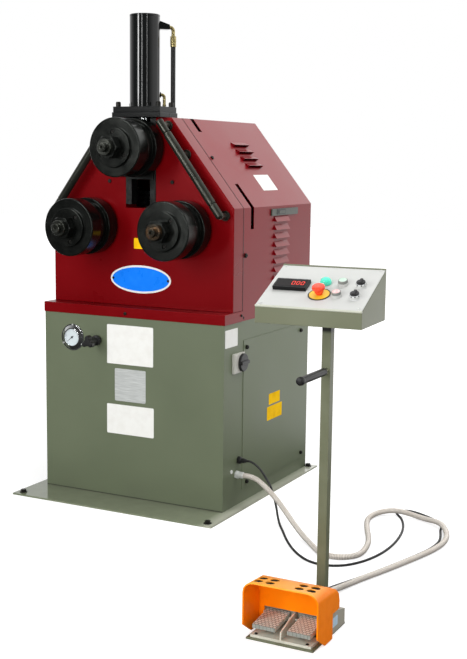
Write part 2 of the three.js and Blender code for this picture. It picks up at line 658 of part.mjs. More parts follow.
// Toothed outline with flanks on the involute's width at root and tip
function toothedOutline(teeth, turn) {
  const pitch = (gearModule * teeth) / 2;
  const base = pitch * Math.cos(radians(gears.pressureAngle));
  const involute = (radius) => {
    const angle = Math.acos(Math.min(1, base / radius));
    return Math.tan(angle) - angle;
  };
  const half = (radius) =>
    (gears.thicknessShare * Math.PI) / (2 * teeth) + involute(pitch) - involute(Math.max(radius, base));
  const tip = pitch + gearModule;
  const root = pitch - gearModule * gears.rootShare;
  const outline = [];
  for (let i = 0; i < teeth; i += 1) {
    const middle = turn + (2 * Math.PI * i) / teeth;
    const stations = [[root, -half(root)], [tip, -half(tip)], [tip, half(tip)], [root, half(root)]];
    for (const [radius, offset] of stations) {
      outline.push([radius * Math.cos(middle + offset), radius * Math.sin(middle + offset)]);
    }
  }
  return outline;
}

// Gear wheel on its long hub, with y counted back from the front plate's face
const gearFront = frontPlate.thickness + gear.behindPlate;
const gearBack = gearFront + gear.width;

function makeGear() {
  const hubFront = frontPlate.thickness + bearingHousing.flangeThickness + gear.hubClearance;
  const hubBack = rearPlateFront - plateFront - gear.hubClearance;
  const teeth = prismY(toothedOutline(gears.wheelTeeth, Math.PI / gears.wheelTeeth), gearFront, gearBack);
  const hub = turnedY(rodProfile(gear.hubRadius, hubFront, hubBack), coarse);
  const bore = turnedY(rodProfile(shaft.radius + seat, hubFront - overrun, hubBack + overrun), fine);
  return joined(teeth, hub).subtract(bore);
}

function makePinion() {
  const teeth = prismY(toothedOutline(gears.pinionTeeth, 0), gearFront, gearBack);
  const rear = rearPlateBack - plateFront + pinionShaft.engagement;
  return teeth.add(turnedY(rodProfile(pinionShaft.radius, gearFront - pinionShaft.lead, rear), fine));
}

function makeRearPlate() {
  const half = rearPlate.width / 2;
  let plate = block(-half, half, rearPlateFront, rearPlateBack, bedTop, bedTop + rearPlate.height);
  const { spread } = rolls;
  for (const [x, radius] of [[-spread, shaft.radius], [spread, shaft.radius], [0, pinionShaft.radius]]) {
    plate = plate.subtract(
      roundY(radius + run, rearPlateFront - overrun, rearPlateBack + overrun, x, lowerAxisZ, fine));
  }
  return plate;
}

function makeGearmotor() {
  const halfWidth = gearbox.width / 2;
  const halfHeight = gearbox.height / 2;
  const boxBack = rearPlateBack + gearbox.length;
  const box = block(-halfWidth, halfWidth, rearPlateBack, boxBack,
    lowerAxisZ - halfHeight, lowerAxisZ + halfHeight);
  const can = roundY(motor.radius, boxBack - overrun, cabinetBack - motor.fromBack, 0, lowerAxisZ, coarse);
  const bore = roundY(pinionShaft.radius + run, rearPlateBack - overrun,
    rearPlateBack + pinionShaft.engagement + overrun, 0, lowerAxisZ, fine);
  return joined(box, can).subtract(bore);
}

// Tank with its pump motor, the valve column behind the knob and the column that the hose comes from
function makePowerUnit() {
  const low = basePlate.thickness;
  const tankLeft = -cabinetSide + tank.fromLeft;
  const tankFront = cabinetFront + tank.fromFront;
  const tankTop = low + tank.height;
  const tankBox = block(tankLeft, tankLeft + tank.width, tankFront, tankFront + tank.length, low, tankTop);
  const motorX = tankLeft + tank.width / 2;
  const motorY = tankFront + tank.length - pumpMotor.radius - tank.fromFront;
  const can = roundZ(pumpMotor.radius, tankTop - overrun, tankTop + pumpMotor.height, motorX, motorY, coarse);
  const inside = cabinetFront + cabinet.wall + seat;
  const column = block(valveX - valveColumn.width / 2, valveX + valveColumn.width / 2, inside,
    inside + valveColumn.length, low, cabinetTop - valveColumn.belowTop);
  const bore = roundY(valve.stemRadius + run, inside - overrun, inside + valveColumn.boreDepth + seat,
    valveX, valveZ, coarse);
  const tower = block(hoseX - hosePort.width / 2, hoseX + hosePort.width / 2, hoseY - hosePort.length / 2,
    hoseY + hosePort.length / 2, low, portTopZ);
  const bar = block(tankLeft + tank.width - overrun, hoseX, hoseY - hosePort.length / 2,
    hoseY + hosePort.length / 2, low, low + hosePort.barHeight);
  return joined(tankBox, can, column, tower, bar).subtract(bore);
}

// Pressure gauge: body through the cabinet's front, screwed flange, sloping bezel and sunk dial
const gaugeFace = -gauge.flange - gaugeBezel.height;
const dialFace = gaugeFace + gaugeDial.recess;

function makeGaugeCase() {
  const { footRadius, rimRadius } = gaugeBezel;
  const profile = [[0, dialFace], [gaugeDial.radius, dialFace], [gaugeDial.radius, gaugeFace],
    [rimRadius, gaugeFace], [footRadius, -gauge.flange], [gauge.flangeRadius, -gauge.flange],
    [gauge.flangeRadius, 0], [gauge.bodyRadius, 0], [gauge.bodyRadius, gauge.depth], [0, gauge.depth]];
  const arborHole = rodProfile(gaugeDial.arborRadius + run, gaugeFace, dialFace + gaugeDial.arborDepth);
  return turnedY(profile, fine).subtract(turnedY(arborHole, few));
}

// Needle on its arbor, drawn pointing up from the arbor's axis, with y counted from the dial's face
function makeNeedle() {
  const back = -run;
  const front = back - needle.thickness;
  const hub = turnedY(rodProfile(needle.hubRadius, front, back), few);
  const half = needle.width / 2;
  const pointer = prismY([[-half, -needle.tail], [half, -needle.tail], [0, needle.length]], front, back);
  const arbor = turnedY(rodProfile(gaugeDial.arborRadius, front, gaugeDial.arborDepth - run), few);
  return joined(hub, pointer, arbor);
}

// Valve knob: stem, collar and a head with three lobes, with y counted from the cabinet's front
function makeValveKnob() {
  const { reach, stemRadius } = valve;
  const { radius, length, start } = valveCollar;
  const stem = turnedY(rodProfile(stemRadius, -reach, cabinet.wall + seat + valveColumn.boreDepth), coarse);
  const collar = turnedY(rodProfile(radius, -start - length, -start), coarse);
  const headFront = -reach;
  const headBack = headFront + valveHead.thickness;
  let head = turnedY(rodProfile(valveHead.hubRadius, headFront, headBack), coarse);
  for (let i = 0; i < valveHead.lobes; i += 1) {
    const turn = (2 * Math.PI * i) / valveHead.lobes + Math.PI / 2;
    head = head.add(roundY(valveHead.lobeRadius, headFront, headBack, valveHead.lobeOffset * Math.cos(turn),
      valveHead.lobeOffset * Math.sin(turn), few));
  }
  return joined(stem, collar, head);
}

const isolatorY = cabinetFront + isolator.fromFront + isolator.length / 2 + isolatorKnob.back;
const isolatorZ = cabinetTop - isolator.belowTop - isolator.height / 2;
const isolatorFace = cabinetSide + isolator.depth;

function makeIsolatorBox() {
  const { fromFront, belowTop, length, height, bevel, spindleRadius } = isolator;
  const y0 = cabinetFront + fromFront;
  const z0 = cabinetTop - belowTop - height;
  const body = block(cabinetSide, isolatorFace - bevel, y0, y0 + length, z0, z0 + height);
  const lid = block(isolatorFace - bevel - overrun, isolatorFace, y0 + bevel, y0 + length - bevel,
    z0 + bevel, z0 + height - bevel);
  const hole = roundX(spindleRadius + run, isolatorFace - isolatorKnob.spindleDepth - run,
    isolatorFace + overrun, isolatorY, isolatorZ, coarse);
  return joined(body, lid).subtract(hole);
}

// Isolator knob, drawn about its axis with x counted from the box's face
function makeIsolatorKnob() {
  const { radius, skirt, gripLength, gripWidth, grip, spindleDepth } = isolatorKnob;
  const plate = turnedX(rodProfile(radius, run, skirt), coarse);
  const bar = block(
    skirt - overrun, skirt + grip, -gripLength / 2, gripLength / 2, -gripWidth / 2, gripWidth / 2);
  const spindle = turnedX(rodProfile(isolator.spindleRadius, -spindleDepth, skirt), coarse);
  return joined(plate, bar, spindle);
}

// Cable entries in the cabinet's side, drawn about their axes with x counted from the sheet
const threadProfile = [
  [0, -glandThread.length], [glandThread.radius, -glandThread.length], [glandThread.radius, 0]];

function makeCableGland() {
  const { radius, hexLength, noseRadius, noseLength } = gland;
  return turnedX([...threadProfile, [radius, 0], [radius, hexLength], [noseRadius, hexLength],
    [noseRadius, hexLength + noseLength], [0, hexLength + noseLength]], coarse);
}

function makeConduitConnector() {
  const { radius, hexLength, sleeveRadius, sleeveLength } = connector;
  return turnedX([...threadProfile, [radius, 0], [radius, hexLength], [sleeveRadius, hexLength],
    [sleeveRadius, hexLength + sleeveLength], [0, hexLength + sleeveLength]], coarse);
}

// Pedestal: foot plate with a tail, square pole and head plate, with the conduit's socket and the grip's stud
function makePedestal() {
  const half = pole.side / 2;
  const foot = block(pedestal.x - pedestal.width / 2, pedestal.x + pedestal.width / 2, pedestal.front,
    pedestal.front + pedestal.length, 0, pedestal.thickness);
  const { halfWidth, beyondPole } = pedestalTail;
  const tail = block(pole.x - halfWidth, pole.x + halfWidth, pedestal.front + pedestal.length / 2,
    pole.y + half + beyondPole, 0, pedestal.thickness);
  const post = block(pole.x - half, pole.x + half, pole.y - half, pole.y + half, 0, pole.top);
  const head = block(pole.x - pole.capWidth / 2, pole.x + pole.capWidth / 2, pole.y - pole.capLength / 2,
    pole.y + pole.capLength / 2, pole.top - pole.cap, pole.top);
  const hollowHalf = half - pole.wall;
  const hollow = block(pole.x - hollowHalf, pole.x + hollowHalf, pole.y - hollowHalf, pole.y + hollowHalf,
    pedestal.thickness, pole.top + overrun);
  const socket = roundY(poleSocket.radius, pole.y + half - pole.wall / 2, pole.y + half + poleSocket.length,
    pole.x, poleSocket.z, few);
  const front = pole.y - half;
  const root = front + pole.wall / 2;
  const stud = roundY(handle.studRadius, front - handle.studLength, root, pole.x, handle.z, few);
  const nut = roundY(handle.nutRadius, front - handle.nutLength, root, pole.x, handle.z, few);
  return joined(joined(foot, tail, post, head).subtract(hollow), socket, stud, nut);
}

// Hand grip with a ball end, drawn about its axis with y counted back from the pole's face
const gripStart = -handle.nutLength - seat;

function makeHandleGrip() {
  const bore = handle.studRadius + seat;
  const boreEnd = -handle.studLength - seat;
  const { radius, throatRadius, ballRadius, ballAt, shoulder: lead } = grip;
  const profile = [[0, boreEnd], [bore, boreEnd], [bore, gripStart], [throatRadius, gripStart],
    [radius, gripStart - lead], [throatRadius, ballRadius - ballAt]];
  for (const degrees of [120, 90, 60, 30]) {
    const turn = radians(degrees);
    profile.push([ballRadius * Math.sin(turn), -ballAt - ballRadius * Math.cos(turn)]);
  }
  profile.push([0, -ballAt - ballRadius]);
  return turnedY(profile, coarse);
}

// Console: a folded wedge-shaped box on the pole with a sloping panel
const panelRise = desk.backHeight - desk.frontHeight;
const panelLength = Math.hypot(desk.depth, panelRise);
const panelTilt = Math.atan2(panelRise, desk.depth);

function makeConsoleBox() {
  const { width, depth, frontHeight, backHeight, wall } = desk;
  const outer = [[-depth / 2, 0], [depth / 2, 0], [depth / 2, backHeight], [-depth / 2, frontHeight]];
  const slope = panelRise / depth;
  const lift = overrun * slope;
  const inner = [[-depth / 2 + wall, wall], [depth / 2 - wall, wall],
    [depth / 2 - wall, backHeight + overrun], [-depth / 2 + wall, frontHeight + overrun + lift]];
  const box = prismX(outer, -width / 2, width / 2).subtract(prismX(inner, -width / 2 + wall, width / 2 - wall));
  const hole = roundZ(cableHole.radius, -overrun, wall + overrun, pole.x - desk.x, pole.y - desk.y, few);
  return box.subtract(hole);
}

const panelTop = seat + panel.thickness;

// Panel plate, drawn flat with its front left corner at the box's: u to the right, v up the slope
function makePanel() {
  const { inset, bezelRadius, bezelHeight, holeRadius } = panel;
  const low = -overrun;
  const high = panelTop + bezelHeight + overrun;
  let plate = block(inset, desk.width - inset, inset, panelLength - inset, seat, panelTop);
  for (const at of [whiteButton, redButton, upperSelector, lowerSelector]) {
    plate = plate.add(roundZ(bezelRadius, seat, panelTop + bezelHeight, at.u, at.v, coarse));
    plate = plate.subtract(roundZ(holeRadius + run, low, high, at.u, at.v, coarse));
  }
  plate = plate.subtract(roundZ(holeRadius + run, low, high, lamp.u, lamp.v, coarse));
  plate = plate.subtract(roundZ(estopStem.radius + run, low, high, estop.u, estop.v, coarse));
  const halfWidth = meterBody.width / 2 + seat;
  const halfHeight = meterBody.height / 2 + seat;
  return plate.subtract(
    block(meter.u - halfWidth, meter.u + halfWidth, meter.v - halfHeight, meter.v + halfHeight, low, high));
}

function makeMeter() {
  const low = panelTop + seat;
  const { width, height, proud } = meter;
  const face = block(-width / 2, width / 2, -height / 2, height / 2, low, low + proud);
  const body = block(-meterBody.width / 2, meterBody.width / 2, -meterBody.height / 2, meterBody.height / 2,
    low - meterBody.depth, low + proud / 2);
  return joined(face, body);
}

function makeLamp() {
  const low = panelTop + seat;
  const { flangeRadius, flange, domeRadius, domeHeight, stemDepth } = lamp;
  const profile = [[0, low - stemDepth], [panel.holeRadius, low - stemDepth], [panel.holeRadius, low],
    [flangeRadius, low], [flangeRadius, low + flange]];
  for (const degrees of [0, 30, 60]) {
    const turn = radians(degrees);
    profile.push([domeRadius * Math.cos(turn), low + flange + domeHeight * Math.sin(turn)]);
  }
  profile.push([0, low + flange + domeHeight]);
  return turnedZ(profile, coarse);
}

function makeButton() {
  const top = panelTop + button.proud;
  const r = button.rounding;
  const profile = [[0, -button.depth], [panel.holeRadius, -button.depth], [panel.holeRadius, top - r],
    [panel.holeRadius - r, top], [0, top]];
  return turnedZ(profile, coarse);
}

function makeSelector() {
  const top = panelTop + selector.skirt;
  const { gripLength, gripWidth, gripSink, depth } = selector;
  const skirt = turnedZ(rodProfile(panel.holeRadius, -depth, top), coarse);
  const bar = block(-gripWidth / 2, gripWidth / 2, -gripLength / 2, gripLength / 2, top - gripSink,
    top + selector.grip);
  return skirt.add(bar);
}

function makeEstopHead() {
  const { headRadius, headHeight, neckRadius, neckHeight } = estop;
  const neck = panelTop + estopStem.lift;
  const under = neck + neckHeight;
  const top = under + headHeight;
  const head = estopHeadShares.map(([across, up]) => [headRadius * across, under + headHeight * up]);
  const profile = [[0, -estopStem.depth], [estopStem.radius, -estopStem.depth], [estopStem.radius, neck],
    [neckRadius, neck], [neckRadius, under], ...head, [0, top]];
  return turnedZ(profile, coarse);
}

// Foot pedal: cast base with a middle web, ears for the pivots and the switch housing behind
function makePedalBody() {
  const low = pedestal.thickness;
  const top = low + pedalBase.plate;
  const x = pedestal.x;
  const { halfWidth, front, earThickness, earFront, earTop } = pedalBase;
  const h = pedalHousing;
  const floor = block(x - halfWidth, x + halfWidth, front, h.rear, low, top);
  const housingSide = [
    [h.front, low], [h.rear, low], [h.rear, h.rearTop], [h.slopeStart, h.top], [h.front, h.top]];
  const housing = prismX(housingSide, x - h.halfWidth, x + h.halfWidth);
  const web = prismX([[front, low], [h.front, low], [h.front, pedalWeb.rearTop], [earFront, pedalWeb.rearTop],
    [front + pedalWeb.frontLean, pedalWeb.frontTop]], x - pedalWeb.halfWidth, x + pedalWeb.halfWidth);
  const leftEar = block(x - halfWidth, x - halfWidth + earThickness, earFront, h.front, low, earTop);
  const rightEar = block(x + halfWidth - earThickness, x + halfWidth, earFront, h.front, low, earTop);
  const pinHole = roundX(pedalPivot.pinRadius + run, x - halfWidth - overrun, x + halfWidth + overrun,
    pedalPivot.y, pedalPivot.z, coarse);
  const entry = roundY(pedalGland.radius, h.rear - overrun, h.rear + pedalGland.length,
    pedalGland.x, pedalGland.z, few);
  const ears = joined(web, leftEar, rightEar).subtract(pinHole);
  return joined(floor, housing, ears, entry);
}

// Pedal plate on the lug that its pivot pin runs through
function makePedal(side) {
  const inner = pedalWeb.halfWidth + pedal.innerGap;
  const outer = pedalBase.halfWidth - pedalBase.earThickness - pedal.sideGap;
  const pinOuter = pedalBase.halfWidth - pedalBase.earThickness + pedalPivot.bite;
  const span = (a, b) => [pedestal.x + Math.min(a * side, b * side), pedestal.x + Math.max(a * side, b * side)];
  const [x0, x1] = span(inner, outer);
  const [p0, p1] = span(pedalPivot.fromMiddle, pinOuter);
  const { front, rear, thickness } = pedal;
  const plate = prismX([[front, pedalTop.front - thickness], [rear, pedalTop.rear - thickness],
    [rear, pedalTop.rear], [front, pedalTop.front]], x0, x1);
  const lug = roundX(pedalPivot.lugRadius, x0, x1, pedalPivot.y, pedalPivot.z, few);
  const pin = roundX(pedalPivot.pinRadius, p0, p1, pedalPivot.y, pedalPivot.z, coarse);
  return joined(plate, lug, pin);
}

// Guard over the pedals: roof, back, sides and a screen before the switch housing, open to the front
function guardSolid(wall) {
  const { halfWidth, front, rear, top, cornerRadius } = guard;
  const s = guardSide;
  const inner = wall > 0;
  const roofY = guardRoof.bendStart;
  const reachY = rear - wall - roofY;
  const reachZ = top - s.shoulder;
  const bend = cornerShares.map((share) => {
    const turn = (share * Math.PI) / 2;
    return [roofY + reachY * Math.cos(turn), s.shoulder + (reachZ - wall) * Math.sin(turn)];
  });
  const side = inner
    ? [[front - overrun, -overrun], [rear - wall, -overrun], ...bend, [front - overrun, top - wall]]
    : [[front, s.frontBottom], [s.tipFront, s.tipBottom], [s.tipRear, s.tipBottom], [s.tipRear, s.step],
      [rear, s.step], ...bend, [front, top]];
  const half = halfWidth - wall;
  const radius = cornerRadius - wall;
  const high = top - wall;
  const arc = (sign, shares) => shares.map((share) => {
    const turn = (share * Math.PI) / 2;
    return [sign * (half - radius + radius * Math.cos(turn)), high - radius + radius * Math.sin(turn)];
  });
  const frontOutline = [[half, -overrun], ...arc(1, cornerShares), ...arc(-1, cornerShares.toReversed()),
    [-half, -overrun]];
  return prismX(side, -halfWidth, halfWidth).intersect(prismY(frontOutline, front - overrun, rear + overrun));
}

function makeGuard() {
  let shell = guardSolid(0).subtract(guardSolid(guard.wall));
  const { lipHalfWidth } = guardRoof;
  shell = shell.add(block(-lipHalfWidth, lipHalfWidth, guard.rear - guard.wall, guard.rear,
    pedalHousing.top, guardSide.step + guard.wall));
  const { tipRear } = guardSide;
  const { halfWidth, wall, top } = guard;
  const { notchHalfWidth, notchTop, bottom } = guardScreen;
  const screen = block(-halfWidth, halfWidth, tipRear - wall, tipRear, bottom, top)
    .subtract(block(-notchHalfWidth, notchHalfWidth, tipRear - wall - overrun, tipRear + overrun, 0, notchTop));
  shell = shell.add(screen.intersect(guardSolid(0)));
  for (let row = 0; row < guardHoles.rows; row += 1) {
    for (let i = 0; i < guardHoles.perRow; i += 1) {
      const out = guardHoles.firstOut + i * guardHoles.pitch;
      const y = guard.front + guardHoles.firstBack + row * guardHoles.rowPitch;
      for (const x of [-out, out]) {
        shell = shell.subtract(
          roundZ(guardHoles.radius, guard.top - guard.wall - overrun, guard.top + overrun, x, y, few));
      }
    }
  }
  return shell.translate([pedestal.x, 0, 0]);
}

// Routes of the two cords, from the cabinet to the pedestal
const conduitStart = cabinetSide + connector.hexLength + connector.sleeveLength + seat;
const cableStart = cabinetSide + gland.hexLength + gland.noseLength + seat;
const conduitRoute = [
  [conduitStart, -261, 120], [428, -261, 120], [458, -266, 115], [490, -279, 103.5], [528, -300, 88],
  [575, -334, 70], [628, -381, 50], [682, -432, 31], [735, -483, 17], [780, -527, 11], [816, -566, 9.4],
  [844, -592, 9.4], [875, -604.5, 9.4], [908, -601, 9.4], [936, -583, 9.4], [953, -555, 9.4], [957, -520, 9.4],
  [951, -470, 9.4], [938, -416, 9.4], [916, -358, 9.4], [889, -296, 9.4], [865, -234, 9.4], [853, -190, 9.4],
  [851, -156, 9.6], [857, -127, 11.5], [873, -102, 14.5], [898, -86, 17.8], [927, -80, 18.8], [962, -82, 16.4],
  [1005, -91, 12.2], [1040, -105, 12.4], [1072, -125, 16.6], [1100, -152, 18.8], [1123, -184, 16.4],
  [1142, -224, 11.5], [1153, -270, 9.4], [1156, -320, 9.4], [1149, -385, 9.4], [1131, -460, 9.4],
  [1103, -555, 9.4], [1071, -655, 9.4], [1041, -742, 9.4], [1021, -808, 9.6], [1012, -850, 12], [1009, -890, 18],
  [pole.x, -912, poleSocket.z],
  [pole.x, pole.y + pole.side / 2 + poleSocket.length + seat, poleSocket.z]];
const cableRoute = [
  [cableStart, -246, 170], [424, -246, 170], [446, -247, 161], [469, -251, 145], [492, -260, 124], [516, -270, 98],
  [539, -289, 67], [558, -310, 40], [574, -333, 20], [590, -357, 8.5], [610, -389, 4.6], [645, -443, 4.4],
  [690, -513, 4.4], [741, -582, 4.4], [790, -634, 4.4], [832, -665, 4.4], [872, -677, 4.4], [912, -672, 4.4],
  [948, -648, 4.4], [978, -603, 4.4], [1000, -540, 4.4], [1013, -455, 4.4], [1012, -355, 4.4], [996, -248, 4.4],
  [972, -168, 4.4], [946, -113, 4.4], [925, -83, 4.4], [912, -61, 4.4], [911, -41, 4.4], [920, -25, 4.4],
  [937, -16, 4.4], [956, -17, 4.4], [978, -25, 4.4], [1006, -40, 4.4], [1046, -66, 4.4], [1080, -100, 4.4],
  [1098, -138, 4.4], [1107, -178, 4.4], [1122, -226, 4.4], [1134, -275, 4.4], [1137, -325, 4.4],
  [1130, -385, 4.4], [1113, -455, 4.4], [1085, -550, 4.4], [1053, -650, 4.4], [1021, -742, 4.4], [994, -812, 4.5],
  [978, -862, 5.5], [970, -905, 8], [967, -940, 10.2], [pedalGland.x, -985, 13], [pedalGland.x, -1020, 22],
  [pedalGland.x, -1038, pedalGland.z],
  [pedalGland.x, pedalHousing.rear + pedalGland.length + seat, pedalGland.z]];

// Assembly
add('base_plate', makeBasePlate(), greyPaint);
add('cabinet_shell', makeCabinetShell(), greyPaint);
add('right_side_panel', makeSidePanel(), greyPaint);
add('bed_plate', makeBed(), redPaint);
add('front_plate', makeFrontPlate(), redPaint);
add('housing_cover', makeCover(), redPaint);
add('housing_rear_panel', makeRearPanel(), redPaint);
add('gib_left', makeGib(-1), blackSteel);
add('gib_right', makeGib(1), blackSteel);
add('slide_block', makeSlideBlock(), blackSteel);
add('cylinder_seat', makeCylinderSeat(), blackPaint);
add('cylinder_flange', makeCylinderFlange(), blackPaint);
add('cylinder_barrel', makeBarrel(), blackSteel);
add('piston_rod', makePistonRod(), groundSteel);
add('upper_elbow', makeUpperElbow(), brass);
add('lower_elbow', makeLowerElbow(), brass);
add('pressure_hose', makeHose(), rubber);
add('guide_bar_left', makeGuideBar(-1), blackSteel);
add('guide_bar_right', makeGuideBar(1), blackSteel);

function addRollSet(name, x, z, rear, shoulderBack, firstTurn) {
  const axis = new THREE.Group();
  axis.position.set(x, plateFront, z);
  part.add(axis);
  add(`${name}_shaft`, makeShaft(rear, shoulderBack), blackSteel, axis);
  add(`${name}_roll`, makeRoll(firstTurn), blackSteel, axis);
  add(`${name}_lock_nut`, makeLockNut(), blackSteel, axis);
  return axis;
}

const topShoulderBack = -seat - slide.capThickness - shoulder.clearance;
const lowerShoulderBack = -bearingHousing.proud - shoulder.clearance;
const topShaftRear = frontPlate.thickness + slide.rearReach + overrun;
const lowerShaftRear = rearPlateBack - plateFront + overrun;
addRollSet('top', 0, topAxisZ, topShaftRear, topShoulderBack, screwTurns.top);
for (const [name, side] of [['left', -1], ['right', 1]]) {
  const axis = addRollSet(
    name, side * rolls.spread, lowerAxisZ, lowerShaftRear, lowerShoulderBack, screwTurns.lower);
  add(`${name}_bearing_housing`, makeBearingHousing(), blackSteel, axis);
  add(`${name}_gear`, makeGear(), castIron, axis);
}
const pinion = add('drive_pinion', makePinion(), groundSteel);
pinion.position.set(0, plateFront, lowerAxisZ);
add('rear_bearing_plate', makeRearPlate(), castIron);
add('gearmotor', makeGearmotor(), castIron);
add('hydraulic_power_unit', makePowerUnit(), castIron);

add('gauge_case', makeGaugeCase(), dialWhite).position.set(gaugeX, cabinetFront, gaugeZ);
const gaugeNeedle = add('gauge_needle', makeNeedle(), blackPlastic);
gaugeNeedle.position.set(gaugeX, cabinetFront + dialFace, gaugeZ);
gaugeNeedle.rotation.y = radians(needle.restTurn);
add('valve_knob', makeValveKnob(), blackPlastic).position.set(valveX, cabinetFront, valveZ);
add('isolator_box', makeIsolatorBox(), greyPlastic);
add('isolator_knob', makeIsolatorKnob(), blackPlastic).position.set(isolatorFace, isolatorY, isolatorZ);
const cableGland = add('cable_gland', makeCableGland(), blackPlastic);
cableGland.position.set(cabinetSide, cabinetFront + gland.fromFront, gland.z);
const conduitConnector = add('conduit_connector', makeConduitConnector(), zinc);
conduitConnector.position.set(cabinetSide, cabinetFront + connector.fromFront, connector.z);

add('pedestal', makePedestal(), greyPaint);
add('handle_grip', makeHandleGrip(), blackPlastic).position.set(pole.x, pole.y - pole.side / 2, handle.z);

const consoleGroup = new THREE.Group();
consoleGroup.position.set(desk.x, desk.y, pole.top + seat);
consoleGroup.rotation.z = radians(desk.turn);
part.add(consoleGroup);
add('console_box', makeConsoleBox(), greyPaint, consoleGroup);
const panelGroup = new THREE.Group();
panelGroup.position.set(-desk.width / 2, -desk.depth / 2, desk.frontHeight);
panelGroup.rotation.x = panelTilt;
consoleGroup.add(panelGroup);

function addToPanel(name, shape, material, at) {
  add(name, shape, material, panelGroup).position.set(at.u, at.v, 0);
}

add('console_panel', makePanel(), whitePanel, panelGroup);
addToPanel('panel_meter', makeMeter(), blackPlastic, meter);
addToPanel('pilot_lamp', makeLamp(), turquoise, lamp);
addToPanel('white_button', makeButton(), greyPlastic, whiteButton);
addToPanel('red_button', makeButton(), greyPlastic, redButton);
addToPanel('upper_selector', makeSelector(), blackPlastic, upperSelector);
addToPanel('lower_selector', makeSelector(), blackPlastic, lowerSelector);
addToPanel('estop_head', makeEstopHead(), redPlastic, estop);

add('pedal_body', makePedalBody(), aluminium);
add('left_pedal', makePedal(-1), aluminium);
add('right_pedal', makePedal(1), aluminium);
add('pedal_guard', makeGuard(), orangePlastic);

add('steel_conduit', tube(conduitRoute, conduit.radius, few, conduit.steps), steelBraid);
add('control_cable', tube(cableRoute, cable.radius, few, cable.steps), rubber);

export default part;
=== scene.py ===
import math

import bmesh
import bpy
from mathutils import Matrix, Vector


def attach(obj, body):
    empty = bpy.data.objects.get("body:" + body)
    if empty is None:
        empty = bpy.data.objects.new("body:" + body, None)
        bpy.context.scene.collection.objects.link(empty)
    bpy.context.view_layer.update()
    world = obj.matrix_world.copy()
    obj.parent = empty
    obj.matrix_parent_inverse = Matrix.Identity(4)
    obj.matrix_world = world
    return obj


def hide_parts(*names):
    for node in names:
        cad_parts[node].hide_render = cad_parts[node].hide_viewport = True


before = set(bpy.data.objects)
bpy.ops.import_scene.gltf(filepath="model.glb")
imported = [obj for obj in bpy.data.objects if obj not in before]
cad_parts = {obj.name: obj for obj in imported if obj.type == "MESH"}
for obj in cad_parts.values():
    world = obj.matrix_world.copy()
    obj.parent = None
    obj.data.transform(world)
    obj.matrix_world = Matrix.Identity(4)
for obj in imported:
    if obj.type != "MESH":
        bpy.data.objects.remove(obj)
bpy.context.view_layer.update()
X_AXIS = Vector((1, 0, 0))
Y_AXIS = Vector((0, 1, 0))
Z_AXIS = Vector((0, 0, 1))

# Camera
# The photograph was taken from the machine's front right, a little above the rolls,
# from about four and a half metres away.
CAMERA_PLACE = Vector((2.1877, -3.8618, 1.2366))
CAMERA_YAW, CAMERA_PITCH, CAMERA_ROLL = (math.radians(a) for a in (26.9329, 8.3711, 0.6778))
CAMERA_LENS = 89.526

camera_data = bpy.data.cameras.new("camera")
camera_data.lens = CAMERA_LENS
camera_data.sensor_width = 36
camera_data.sensor_fit = "HORIZONTAL"
camera = bpy.data.objects.new("camera", camera_data)
bpy.context.scene.collection.objects.link(camera)
camera.matrix_world = (
    Matrix.Translation(CAMERA_PLACE)
    @ Matrix.Rotation(CAMERA_YAW, 4, "Z")
    @ Matrix.Rotation(math.pi / 2 - CAMERA_PITCH, 4, "X")
    @ Matrix.Rotation(CAMERA_ROLL, 4, "Z")
)
bpy.context.scene.camera = camera
bpy.context.scene.view_settings.view_transform = "Standard"

# Studio
# A pale floor under large soft lamps. The lens sees a white background, and polished metal
# mirrors white behind the machine; the paint is lit by the lamps and a dim sky.


class Signal:
    """A node's output, written in sums and products as a number would be."""

    def __init__(self, finish, socket):
        self.finish = finish
        self.socket = socket

    def math(self, operation, first, second=None, clamp=False):
        inputs = {0: first} if second is None else {0: first, 1: second}
        return self.finish.node("ShaderNodeMath", inputs, operation=operation, use_clamp=clamp)

    def __add__(self, other):
        return self.math("ADD", self, other)

    def __sub__(self, other):
        return self.math("SUBTRACT", self, other)

    def __rsub__(self, other):
        return self.math("SUBTRACT", other, self)

    def __mul__(self, other):
        return self.math("MULTIPLY", self, other)

    def __pow__(self, other):
        return self.math("POWER", self, other)

    def wave(self):
        return self.math("SINE", self)

    def range(self, low, high):
        """0 at low, 1 at high, held between them."""
        return self.math("MULTIPLY", self - low, 1 / (high - low), clamp=True)


def tone(code):
    """The linear colour of a hex code."""
    parts = [int(code[i:i + 2], 16) / 255 for i in (1, 3, 5)]
    return tuple(c / 12.92 if c <= 0.04045 else ((c + 0.055) / 1.055) ** 2.4 for c in parts) + (1.0,)


